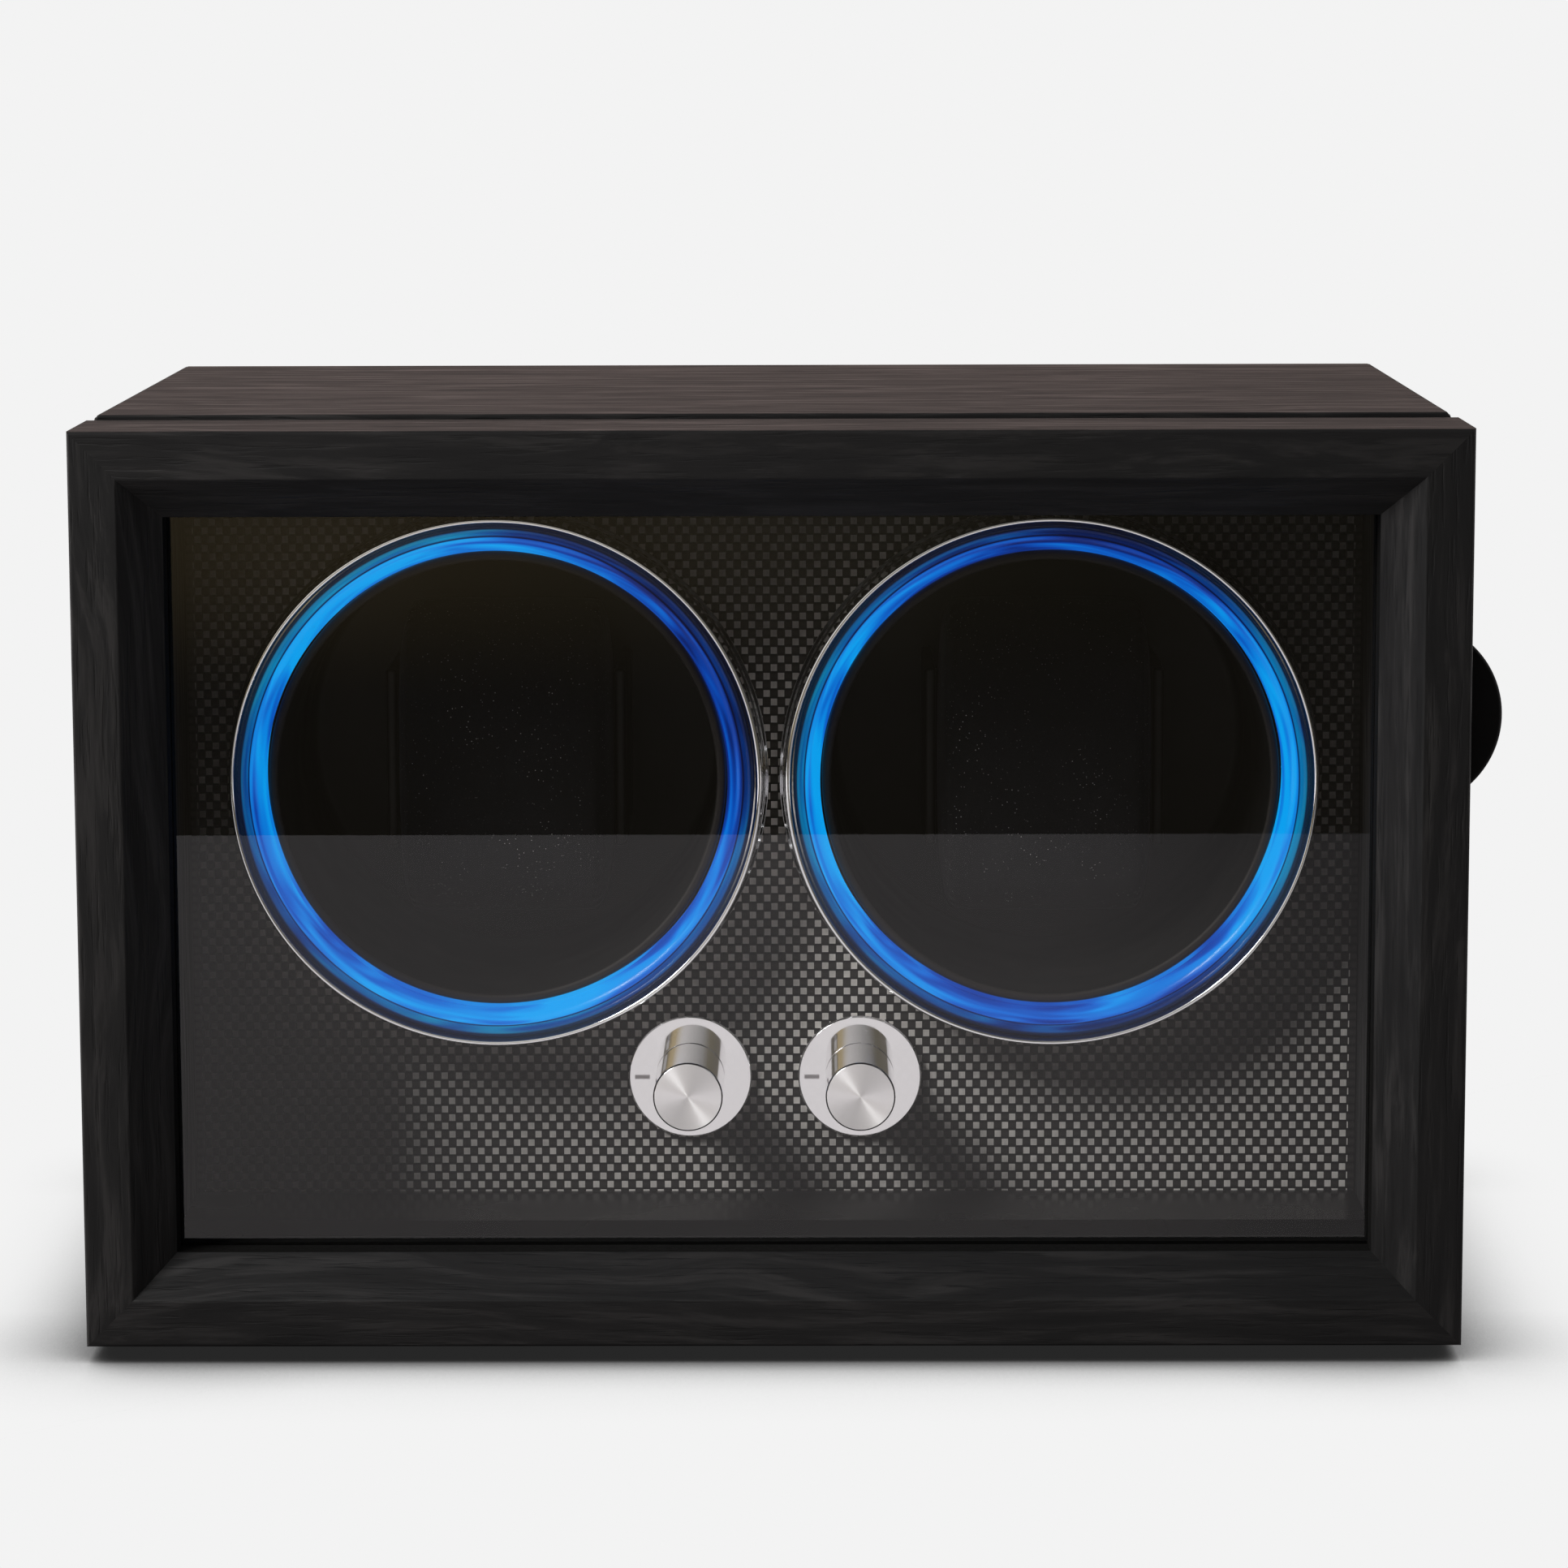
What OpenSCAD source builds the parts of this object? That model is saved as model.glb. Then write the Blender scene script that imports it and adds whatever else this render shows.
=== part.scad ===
// Two-place watch winder: a veneered box with a framed glass door, two lit round
// mouths with turning cups behind them, and one mode knob for each cup.
// X points to the right, -Y to the front and Z up. The origin lies on the
// surface the feet stand on, under the middle of the box.

/* [Case] */
// Width of the case
case_w = 228; // [228:1:300]
// Height of the case without its feet
case_h = 155; // [155:1:210]
// Clear depth between the motors and the back panel
rear_room = 2.5; // [2.5:0.5:40]
// Thickness of the mitred case boards
board_t = 12; // [9:0.5:14]
// Radius of the eased outer edges of the case
edge_r = 1.2; // [0.6:0.1:2]
// Thickness of the back panel
back_t = 4; // [3:0.5:6]
// How far the back panel lies inside the rear edges
back_inset = 4; // [3.8:0.1:8]
// Width of the rebate that the back panel lies in
back_rebate = 5; // [4:0.5:6]
// Height of the rubber feet
foot_h = 2; // [1:0.5:6]
// Radius of the rubber feet
foot_r = 6; // [4:0.5:10]
// Distance from the feet to the case's edges
foot_inset = 16; // [12:1:30]

/* [Door] */
// Thickness of the door frame
door_t = 25.5; // [21:0.5:32]
// Gap between the door and the case
seam = 0.5; // [0.3:0.1:1]
// How far the door stands past each side of the case
door_lap = 1; // [0:0.1:2]
// How far the case stands above and below the door
door_drop = 0.8; // [0:0.1:2]
// Width of the flat front band of the frame
band_w = 7.9; // [6:0.1:14]
// Width of the bevel between the band and the window
bevel_w = 6.8; // [4:0.1:10]
// Depth of the bevel
bevel_d = 7; // [4:0.1:9]
// Distance from the door's front to the glass
glass_setback = 12; // [10:0.1:14]
// Thickness of the glass
glass_t = 3; // [2:0.1:4]
// Width of the rebate that holds the glass
glass_rebate = 4; // [3:0.1:5]
// Depth of the slips that hold the glass from behind
bead_d = 4; // [3:0.1:6]
// Radius of the half-round door pull
pull_r = 15.9; // [12:0.1:20]
// How far the pull stands out of the door's side
pull_out = 5.9; // [4:0.1:8]
// Thickness of the pull
pull_t = 12; // [8:0.5:16]
// Height of the pull over the middle of the case
pull_rise = 28.7; // [-30:0.1:40]

/* [Door hinges] */
// Height of one hinge
hinge_h = 32; // [24:1:40]
// Width of one hinge leaf
leaf_w = 12; // [8:0.5:16]
// Thickness of the hinge leaves
leaf_t = 1.2; // [0.8:0.1:1.6]
// Radius of the hinge knuckles
knuckle_r = 1.9; // [1.8:0.1:2.4]
// Radius of the hinge pins
pin_r = 1; // [0.8:0.05:1.2]
// Distance from the door's side out to the hinge axis
hinge_out = 1; // [0.8:0.1:1.4]
// Distance from the case's top and bottom to the hinges
hinge_inset = 20; // [14:1:30]

/* [Fascia] */
// Distance from the case's front edge to the fascia
fascia_setback = 23; // [20:0.5:34]
// Thickness of the fascia
fascia_t = 5; // [4:0.5:8]
// Thickness of the board that lines the floor before the fascia
floor_t = 4.3; // [2:0.1:8]
// Height of the cup centres over the middle of the case
drum_rise = 12.9; // [8:0.1:16]
// Gap between the two bezels
bezel_gap = 1.8; // [1:0.1:6]
// How far the bezels stand out of the fascia
bezel_h = 11; // [9:0.5:14]
// Width of the lit ring
ring_w = 4.1; // [3:0.1:6]
// Wall of the bezel at its rim
bezel_wall = 1; // [0.8:0.1:1.6]
// How far the bezel's foot stands out past its rim
bezel_foot = 1.1; // [0.6:0.1:2]

/* [Knobs] */
// Distance between the two knobs
knob_pitch = 29.7; // [26:0.1:40]
// Depth of the knob centres under the middle of the case
knob_drop = 40.4; // [39:0.1:44]
// Radius of the knobs
knob_r = 6; // [5:0.1:8]
// Length of the knobs
knob_l = 17.2; // [12:0.1:19]
// Radius of the polished flanges under the knobs
flange_r = 10.8; // [9:0.1:12]
// Thickness of the polished flanges
flange_t = 1.5; // [1:0.1:2]
// Radius of the switch spindles
spindle_r = 3; // [2.5:0.1:3.2]
// Direction of the knobs' index line, counter-clockwise from the right
knob_angle = 134; // [0:1:360]

/* [Cups] */
// Inner radius of the cups
cup_r = 38; // [36:0.1:39]
// Wall of the cups
cup_wall = 1.6; // [1.2:0.1:2]
// Inner depth of the cups
cup_depth = 59; // [56:0.5:62]
// Distance from the bezel's rim back to the cup's rim
cup_setback = 6; // [4:0.5:8]
// Width of the watch pillows
pillow_w = 38; // [30:1:40]
// Clear height for the strap over and under the pillow
strap_room = 9; // [6:0.5:14]
// Thickness of the watch pillows
pillow_t = 42; // [36:1:44]
// Clear depth behind the pillow for the clasp of a bracelet
clasp_gap = 6; // [4:0.5:8]

/* [Drive] */
// Tooth module of the gears
gear_module = 1; // [0.9:0.05:1.05]
// Teeth of the gear on each cup
gear_teeth = 45; // [40:1:46]
// Teeth of the motor pinions
pinion_teeth = 15; // [13:1:16]
// Width of the gears
gear_w = 6; // [4:0.5:7]
// Radius of the cup axles
axle_r = 3; // [2.5:0.1:3.5]
// Radius of the motors
motor_r = 12; // [10:0.5:13]
// Length of the motors
motor_l = 17; // [14:0.5:18]

/* [Hidden] */
LEFT = -1;
RIGHT = 1;

// Facets of round shapes as they are drawn; every tool reads them as true curves.
$fn = 96;

// Clearances
fit = 0.05;          // running fit of a shaft in its bore, and of a screw in its hole
slip = 0.2;          // a board in its groove, a pane in its rebate
run = 0.8;           // a turning cup in its housing
soft_gap = 0.3;      // a pillow beside its cheeks
past = 1;            // how far a cutting shape runs past the face it cuts

// Heights and depths of the case and the door
case_z = foot_h;
mid_z = case_z + case_h / 2;

// Depth of the works from the fascia's front to the motors' ends, and of the case round them
cup_floor_t = 2;
hub_l = 2.5;
hub_gap = 1;
bush_l = 4;
bush_flange_t = 1;
gear_gap = 0.5;
plate_t = 2;
works_d = cup_setback - bezel_h + cup_depth + cup_floor_t + hub_l + hub_gap + bush_l
    + bush_flange_t + gear_gap + gear_w + gear_gap + bush_flange_t + plate_t + motor_l;
case_d = fascia_setback + works_d + rear_room + back_t + back_inset;

total_d = door_t + seam + case_d;
front_y = -total_d / 2;
door_back_y = front_y + door_t;
case_y = door_back_y + seam;
back_y = case_y + case_d;
inner_w = case_w - 2 * board_t;
inner_h = case_h - 2 * board_t;
panel_out_y = back_y - back_inset;
panel_in_y = panel_out_y - back_t;

door_w = case_w + 2 * door_lap;
door_h = case_h - 2 * door_drop;
frame_w = band_w + bevel_w;
bevel_y = front_y + bevel_d;
glass_y = front_y + glass_setback;
glass_back_y = glass_y + glass_t;

// Hinge axis
hinge_x = -door_w / 2 - hinge_out;
hinge_y = door_back_y + seam / 2;
hinge_zs = [mid_z - case_h / 2 + hinge_inset, mid_z + case_h / 2 - hinge_inset - hinge_h];
knuckle_gap = 0.15;

// Magnet catch
catch_r = 3.5;
catch_d = 4;
catch_inset = 24;
catch_x = case_w / 2 - board_t / 2 + 1;
catch_zs = [mid_z - case_h / 2 + catch_inset, mid_z + case_h / 2 - catch_inset];

// Fascia and what is built round the cup mouths
fascia_y = case_y + fascia_setback;
fascia_back_y = fascia_y + fascia_t;
cup_out_r = cup_r + cup_wall;
housing_r = cup_out_r + run;
housing_wall = 1.8;
ring_in_r = cup_out_r + run + 0.1;
ring_out_r = ring_in_r + ring_w;
bezel_in_r = ring_out_r + 0.3;
bezel_rim_r = bezel_in_r + bezel_wall;
bezel_r = bezel_rim_r + bezel_foot;
shelf_r = ring_out_r - 0.6;
spigot_r = shelf_r + 1.1;
drum_x = bezel_r + bezel_gap / 2;
drum_z = mid_z + drum_rise;
rim_y = fascia_y - bezel_h;

// Cup, bearings and gears, from front to back
cup_y = rim_y + cup_setback;
cup_floor_y = cup_y + cup_depth;
hub_r = 7;
axle_head_r = 5;
axle_head_t = 2.4;
press = 0.02;        // radial gap between pieces that are fixed to each other
housing_wall_y = cup_floor_y + cup_floor_t + hub_l + hub_gap;
housing_back_t = 3;
drum_step_h = 1.2;   // step of the back disc inside the drum
housing_back_y = housing_wall_y + housing_back_t;
bush_r = 5;
bush_flange_r = 6.5;
boss_r = 8;
gear_y = housing_wall_y + bush_l + bush_flange_t + gear_gap;
plate_y = gear_y + gear_w + gear_gap + bush_flange_t;
plate_back_y = plate_y + plate_t;
axle_end_y = plate_y + bush_l;

// Gear geometry
pressure_angle = 25;
backlash = 0.12;
gear_pitch_r = gear_module * gear_teeth / 2;
pinion_pitch_r = gear_module * pinion_teeth / 2;
centre_distance = gear_pitch_r + pinion_pitch_r;
motor_z = drum_z - centre_distance;
pinion_shaft_r = 1.5;
motor_boss_r = 3.5;
plate_margin = 2.3;  // plate round each pillar

// Pillars that carry the motor plate, as x and z from the cup's axis
pillars = [[0, gear_pitch_r + 8], [-22, -24], [22, -24]];
pillar_r = 3.2;
screw_r = 1.4;
screw_head_r = 2.6;
screw_head_t = 1.5;
screw_l = 7;
ear_r = 4.5;
ear_ring_r = bezel_r + 3;
ear_angles = [45, 135, 225, 315];
flange_plate_t = 2.5;
motor_screw_x = 9.5;

// Knobs and switches
knob_z = mid_z - knob_drop;
knob_x = knob_pitch / 2;
flange_y = fascia_y - flange_t;
knob_back_y = flange_y - 0.3;
knob_y = knob_back_y - knob_l;
knob_skirt = 1.5;    // depth of the knob's recess for the switch bushing
spindle_grip = 9.8;  // length of spindle inside the knob
index_w = 0.8;
index_d = 0.35;
index_inset = 2;
bushing_r = spindle_r + 1;
switch_w = 14;
switch_d = 8;
board_y = fascia_back_y + switch_d;
board_pcb_t = 1.6;
board_w = 66;
board_h = 25;

// Back fittings, as distances from the middle of the case
socket_x = 70;
button_x = -70;
fitting_z = case_z + board_t + 22;
button_r = 5;
button_travel = 2;

// Watch pillow
pillow_h = 2 * (cup_r - strap_room);
pillow_y = cup_floor_y - clasp_gap - pillow_t;
pillow_round = 16;
cheek_t = 2;
cheek_x = pillow_w / 2 + soft_gap;
cheek_h = 32;
cheek_l = 33;

// ---------- shared shapes ----------

// A flat shape drawn in x and z, as thick as l from y on.
module plate_at(y, l) {
    translate([0, y + l, 0]) rotate([90, 0, 0]) linear_extrude(l) children();
}

// A profile drawn in radius and y, turned about a line along Y.
module turned(x, z) {
    translate([x, 0, z]) rotate([-90, 0, 0]) rotate_extrude() children();
}

// A round rod along Y.
module rod(x, z, r, y, l) {
    translate([x, y, z]) rotate([-90, 0, 0]) cylinder(r = r, h = l);
}

// A rectangle with round corners about its middle.
module round_rect(w, h, r) {
    square([w - 2 * r, h], center = true);
    square([w, h - 2 * r], center = true);
    for (x = [-1, 1], z = [-1, 1])
        translate([x * (w / 2 - r), z * (h / 2 - r)]) circle(r = r, $fn = 32);
}

// A bar with round ends between two points.
module bar(a, b, r) {
    length = norm(b - a);
    angle = atan2(b[1] - a[1], b[0] - a[0]);
    translate(a) circle(r = r);
    translate(b) circle(r = r);
    translate(a) rotate(angle) translate([0, -r]) square([length, 2 * r]);
}

// The four wedges that cut a frame of size w by h at its mitres.
module mitre_wedge(side, w, h, depth) {
    reach = past;
    inner = depth + past;
    x = w / 2;
    z = h / 2;
    if (side == "top")
        polygon([[-x - reach, z + reach], [x + reach, z + reach], [x - inner, z - inner], [inner - x, z - inner]]);
    if (side == "bottom")
        mirror([0, 1]) mitre_wedge("top", w, h, depth);
    if (side == "right")
        polygon([[x + reach, -z - reach], [x + reach, z + reach], [x - inner, z - inner], [x - inner, inner - z]]);
    if (side == "left")
        mirror([1, 0]) mitre_wedge("right", w, h, depth);
}

// A box given by its corners.
module block(low, high) {
    translate(low) cube(high - low);
}

// ---------- gear teeth ----------

function involute(angle) = tan(angle) - angle * PI / 180;

// Half of the tooth's angle at radius r.
function half_tooth(r, teeth) =
    let (pitch_r = gear_module * teeth / 2, base_r = pitch_r * cos(pressure_angle))
    ((PI * gear_module / 2 - backlash) / (2 * pitch_r)
        + involute(pressure_angle) - involute(acos(min(1, base_r / r)))) * 180 / PI;

// Outline of a spur gear with a tooth pointing along the given angle.
module gear_outline(teeth, angle) {
    pitch_r = gear_module * teeth / 2;
    base_r = pitch_r * cos(pressure_angle);
    tip_r = pitch_r + 0.95 * gear_module;
    root_r = pitch_r - 1.2 * gear_module;
    start_r = max(base_r, root_r);
    steps = 3;
    radii = [root_r, for (i = [0:steps]) start_r + (tip_r - start_r) * i / steps];
    points = [
        for (tooth = [0:teeth - 1], flank = [-1, 1], i = [0:steps + 1])
            let (
                r = radii[flank < 0 ? i : steps + 1 - i],
                a = angle + 360 * tooth / teeth + flank * half_tooth(max(r, base_r), teeth)
            )
            [r * cos(a), r * sin(a)]
    ];
    polygon(points);
}

// ---------- case ----------

module case_board(side) {
    difference() {
        translate([0, 0, mid_z]) plate_at(case_y, case_d) intersection() {
            difference() {
                round_rect(case_w, case_h, edge_r);
                square([inner_w, inner_h], center = true);
            }
            mitre_wedge(side, case_w, case_h, board_t);
        }
        translate([0, 0, mid_z]) plate_at(panel_in_y, back_t + back_inset + past)
            square([inner_w + 2 * back_rebate, inner_h + 2 * back_rebate], center = true);
        screw_holes_back();
    }
}

module case_top() {
    color("#3a3230") case_board("top");
}

module case_bottom() {
    color("#332c2b") case_board("bottom");
}

module case_left_side() {
    color("#2b2526") difference() {
        case_board("left");
        for (z = hinge_zs)
            block([-case_w / 2 - past, case_y - past, z - slip / 2],
                  [-case_w / 2 + leaf_t + fit, hinge_y + leaf_w + fit, z + hinge_h + slip / 2]);
    }
}

module case_right_side() {
    color("#2b2526") difference() {
        case_board("right");
        for (z = catch_zs) rod(catch_x, z, catch_r + fit, case_y - past, catch_d + past);
    }
}

// Places of the back panel's screws, as x and z.
function back_screw_places() = [
    for (x = [-1, 0, 1], z = [-1, 1])
        [x * (inner_w / 2 + back_rebate / 2), mid_z + z * (inner_h / 2 + back_rebate / 2)]
];
back_screw_r = 1.3;
back_screw_head_r = 2.3;
back_screw_l = 12;

module screw_holes_back() {
    for (p = back_screw_places())
        rod(p[0], p[1], back_screw_r + fit, panel_out_y - back_screw_l - fit, back_screw_l + past);
}

module back_panel() {
    color("#191717") difference() {
        translate([0, 0, mid_z]) plate_at(panel_in_y, back_t)
            square([inner_w + 2 * back_rebate - 2 * slip, inner_h + 2 * back_rebate - 2 * slip], center = true);
        screw_holes_back();
        for (p = back_screw_places()) turned(p[0], p[1]) screw_head_profile(fit);
        rod(socket_x, fitting_z, socket_body_r + fit, panel_in_y - past, back_t + 2 * past);
        rod(button_x, fitting_z, button_body_r + fit, panel_in_y - past, back_t + 2 * past);
    }
}

// Countersunk head, flush with the panel's outer face, in radius and y.
module screw_head_profile(extra) {
    depth = back_screw_head_r - back_screw_r;
    polygon([
        [0, panel_out_y - depth - extra], [back_screw_r + extra, panel_out_y - depth - extra],
        [back_screw_head_r + extra, panel_out_y], [back_screw_head_r + extra, panel_out_y + extra],
        [0, panel_out_y + extra]
    ]);
}

module back_screws() {
    color("#2a2a2c") for (p = back_screw_places()) difference() {
        union() {
            turned(p[0], p[1]) screw_head_profile(0);
            rod(p[0], p[1], back_screw_r, panel_out_y - back_screw_l, back_screw_l - 0.1);
        }
        for (angle = [0, 90])
            translate([p[0], panel_out_y, p[1]]) rotate([0, angle, 0]) cube([3, 1.2, 0.6], center = true);
    }
}

module rubber_feet() {
    foot_x = case_w / 2 - foot_inset;
    color("#121212") for (x = [-foot_x, foot_x], y = [case_y + foot_inset, back_y - foot_inset])
        translate([x, y, 0]) rotate_extrude()
            polygon([[0, 0], [foot_r - 0.5, 0], [foot_r, 0.5], [foot_r, foot_h], [0, foot_h]]);
}

// ---------- fascia and floor ----------

module fascia_panel() {
    color("#26262a") difference() {
        translate([0, 0, mid_z]) plate_at(fascia_y, fascia_t)
            square([inner_w - 2 * slip, inner_h - 2 * slip], center = true);
        for (side = [LEFT, RIGHT]) {
            rod(side * drum_x, drum_z, spigot_r + fit, fascia_y - past, fascia_t + 2 * past);
            rod(side * knob_x, knob_z, bushing_r + fit, fascia_y - past, fascia_t + 2 * past);
            ear_screw_holes(side);
        }
    }
}

module ear_screw_holes(side) {
    for (p = ear_places(side))
        rod(p[0], p[1], screw_r + fit, fascia_back_y + flange_plate_t - screw_l - fit, screw_l + past);
}

module fascia_battens() {
    batten_w = 5.5;
    batten_d = 10;
    color("#8a6b4c") for (side = [LEFT, RIGHT]) difference() {
        translate([side * (inner_w - batten_w) / 2, 0, mid_z])
            plate_at(fascia_back_y, batten_d) square([batten_w, inner_h - 2 * slip], center = true);
        rod(side * drum_x, drum_z, bezel_r + fit, fascia_back_y - past, flange_plate_t + past);
    }
}

module compartment_floor() {
    color("#1d1b1d")
        block([-inner_w / 2 + slip, case_y + seam, case_z + board_t],
              [inner_w / 2 - slip, fascia_y, case_z + board_t + floor_t]);
}

// ---------- lit cup mouths ----------

module bezel(side) {
    color("#c8cacd") turned(side * drum_x, drum_z) polygon([
        [shelf_r, fascia_back_y], [spigot_r, fascia_back_y], [spigot_r, fascia_y], [bezel_r, fascia_y],
        [bezel_r, fascia_y - 0.9], [bezel_r - 0.1, fascia_y - 1.15], [bezel_r - 0.35, fascia_y - 1.3],
        [bezel_rim_r, rim_y + 0.6], [bezel_rim_r - 0.15, rim_y + 0.2], [bezel_rim_r - 0.5, rim_y],
        [bezel_rim_r - 0.8, rim_y + 0.15], [bezel_in_r, rim_y + 0.5],
        [bezel_in_r, fascia_y - 1], [shelf_r, fascia_y - 1]
    ]);
}

// Clear ring with a narrow outer step and a broad sloping inner one.
module light_ring(side) {
    step_r = ring_out_r - 1.3;
    front_y0 = rim_y + 1;
    color("#0a6cff") turned(side * drum_x, drum_z) polygon([
        [ring_in_r, front_y0 + 3.2], [ring_in_r + 0.5, front_y0 + 2.2], [ring_in_r + 1.3, front_y0 + 1.2],
        [step_r - 0.9, front_y0 + 0.5], [step_r - 0.4, front_y0 + 0.4], [step_r - 0.25, front_y0 + 1.1],
        [step_r, front_y0 + 1.1], [step_r + 0.1, front_y0 + 0.2], [step_r + 0.4, front_y0],
        [ring_out_r - 0.4, front_y0], [ring_out_r, front_y0 + 0.4],
        [ring_out_r, fascia_y - 1], [shelf_r - fit, fascia_y - 1],
        [shelf_r - fit, fascia_y + 2], [ring_in_r, fascia_y + 2]
    ]);
}

module led_board(side) {
    led_count = 24;
    mid_r = (ring_in_r + shelf_r) / 2;
    color("#e8efe8") {
        turned(side * drum_x, drum_z)
            translate([ring_in_r + fit, fascia_back_y - 1.6]) square([shelf_r - ring_in_r - 2 * fit, 1.6]);
        for (i = [0:led_count - 1])
            translate([side * drum_x, 0, drum_z]) rotate([0, i * 360 / led_count, 0])
                translate([mid_r - 1, fascia_back_y - 2.6, -1]) cube([2, 1.1, 2]);
    }
}

// ---------- cup housing, bearings and drive ----------

function ear_places(side) = [
    for (a = ear_angles) [side * drum_x + ear_ring_r * cos(a), drum_z + ear_ring_r * sin(a)]
];

module drum_housing(side) {
    x = side * drum_x;
    color("#1a1a1c") difference() {
        union() {
            turned(x, drum_z) polygon([
                [housing_r, fascia_back_y], [bezel_r, fascia_back_y], [bezel_r, fascia_back_y + flange_plate_t],
                [housing_r + housing_wall, fascia_back_y + flange_plate_t],
                [housing_r + housing_wall, housing_wall_y], [housing_r, housing_wall_y]
            ]);
            plate_at(fascia_back_y, flange_plate_t) difference() {
                for (a = ear_angles) translate([x, drum_z]) rotate(a) {
                    translate([ear_ring_r, 0]) circle(r = ear_r);
                    translate([0, 0.4 - ear_r]) square([ear_ring_r, 2 * ear_r - 0.8]);
                }
                translate([x, drum_z]) circle(r = housing_r + 1);
            }
        }
        ear_screw_holes(side);
    }
}

// Disc that closes a drum: its step sits in the drum's end, and it holds a bush and the pillars.
module drum_backs() {
    color("#1f1f22") for (side = [LEFT, RIGHT]) difference() {
        union() {
            turned(side * drum_x, drum_z) polygon([
                [bush_r + fit, housing_wall_y], [housing_r - housing_wall, housing_wall_y],
                [housing_r - housing_wall, housing_wall_y - drum_step_h], [housing_r - fit, housing_wall_y - drum_step_h],
                [housing_r - fit, housing_wall_y], [housing_r + housing_wall, housing_wall_y],
                [housing_r + housing_wall, housing_back_y],
                [boss_r, housing_back_y], [boss_r, housing_wall_y + bush_l],
                [bush_r + fit, housing_wall_y + bush_l]
            ]);
            for (p = pillars)
                rod(side * drum_x + p[0], drum_z + p[1], pillar_r, housing_back_y - 0.5, plate_y - housing_back_y + 0.5);
        }
        for (p = pillars)
            rod(side * drum_x + p[0], drum_z + p[1], screw_r + fit, plate_back_y - screw_l - fit, screw_l + past);
    }
}

// A pan-head screw along Y; its head lies on the far side when facing is 1, on the near side when -1.
module drive_screw(x, z, seat_y, facing) {
    translate([x, seat_y, z]) rotate([facing > 0 ? -90 : 90, 0, 0]) difference() {
        rotate_extrude() polygon([
            [0, -screw_l], [screw_r, -screw_l], [screw_r, 0], [screw_head_r, 0],
            [screw_head_r, screw_head_t - 0.5], [screw_head_r - 0.6, screw_head_t], [0, screw_head_t]
        ]);
        for (angle = [0, 90]) rotate(angle) translate([0, 0, screw_head_t]) cube([3, 0.7, 1.4], center = true);
    }
}

module drive_screws() {
    color("#b9bcc0") for (side = [LEFT, RIGHT]) {
        for (p = ear_places(side)) drive_screw(p[0], p[1], fascia_back_y + flange_plate_t, 1);
        for (p = pillars) drive_screw(side * drum_x + p[0], drum_z + p[1], plate_back_y, 1);
        for (x = [-1, 1]) drive_screw(side * drum_x + x * motor_screw_x, motor_z, plate_y, -1);
    }
}

// Flanged bush; the flange faces the gear.
module bush(side, y, facing) {
    translate([side * drum_x, y, drum_z]) rotate([facing > 0 ? -90 : 90, 0, 0]) rotate_extrude() polygon([
        [axle_r + fit, 0], [bush_r, 0], [bush_r, bush_l], [bush_flange_r, bush_l],
        [bush_flange_r, bush_l + bush_flange_t], [axle_r + fit, bush_l + bush_flange_t]
    ]);
}

module axle_bushes() {
    color("#b08d4a") for (side = [LEFT, RIGHT]) {
        bush(side, housing_wall_y, 1);
        bush(side, plate_y + bush_l, -1);
    }
}

module motor_plate(side) {
    x = side * drum_x;
    centre = [x, drum_z];
    motor = [x, motor_z];
    color("#9aa0a6") difference() {
        plate_at(plate_y, plate_t) union() {
            for (p = pillars) bar(centre, centre + p, pillar_r + plate_margin);
            bar(centre, motor, motor_r);
            bar(centre + pillars[1], centre + pillars[2], pillar_r + plate_margin);
        }
        rod(x, drum_z, bush_r + fit, plate_y - past, plate_t + 2 * past);
        rod(x, motor_z, motor_boss_r + 0.1, plate_y - past, plate_t + 2 * past);
        for (p = pillars) rod(x + p[0], drum_z + p[1], screw_r + fit, plate_y - past, plate_t + 2 * past);
        for (s = [-1, 1]) rod(x + s * motor_screw_x, motor_z, screw_r + fit, plate_y - past, plate_t + 2 * past);
    }
}

module gearmotor(side) {
    x = side * drum_x;
    gearbox_l = 7;
    terminal = [2, 2.5, 0.6];
    color("#6f757c") difference() {
        union() {
            turned(x, motor_z) polygon([
                [0, plate_y + 0.3], [motor_boss_r, plate_y + 0.3], [motor_boss_r, plate_back_y], [motor_r - 0.4, plate_back_y],
                [motor_r, plate_back_y + 0.4], [motor_r, plate_back_y + gearbox_l],
                [motor_r - 0.6, plate_back_y + gearbox_l + 0.4],
                [motor_r - 0.6, plate_back_y + motor_l - 1], [motor_r - 1.6, plate_back_y + motor_l],
                [0, plate_back_y + motor_l]
            ]);
            for (s = [-1, 1]) translate([x + s * 5 - terminal[0] / 2, plate_back_y + motor_l - 0.5, motor_z - terminal[2] / 2])
                cube(terminal);
        }
        rod(x, motor_z, pinion_shaft_r + fit, plate_y - past, 8);
        for (s = [-1, 1]) rod(x + s * motor_screw_x, motor_z, screw_r + fit, plate_back_y - past, screw_l - plate_t + past + 0.2);
    }
}

module motor_pinion(side) {
    x = side * drum_x;
    color("#efe9dc") {
        translate([x, 0, motor_z]) plate_at(gear_y, gear_w) gear_outline(pinion_teeth, 90 + 180 / pinion_teeth);
        rod(x, motor_z, pinion_shaft_r, gear_y - 1, plate_y + 6 - gear_y);
    }
}

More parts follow.
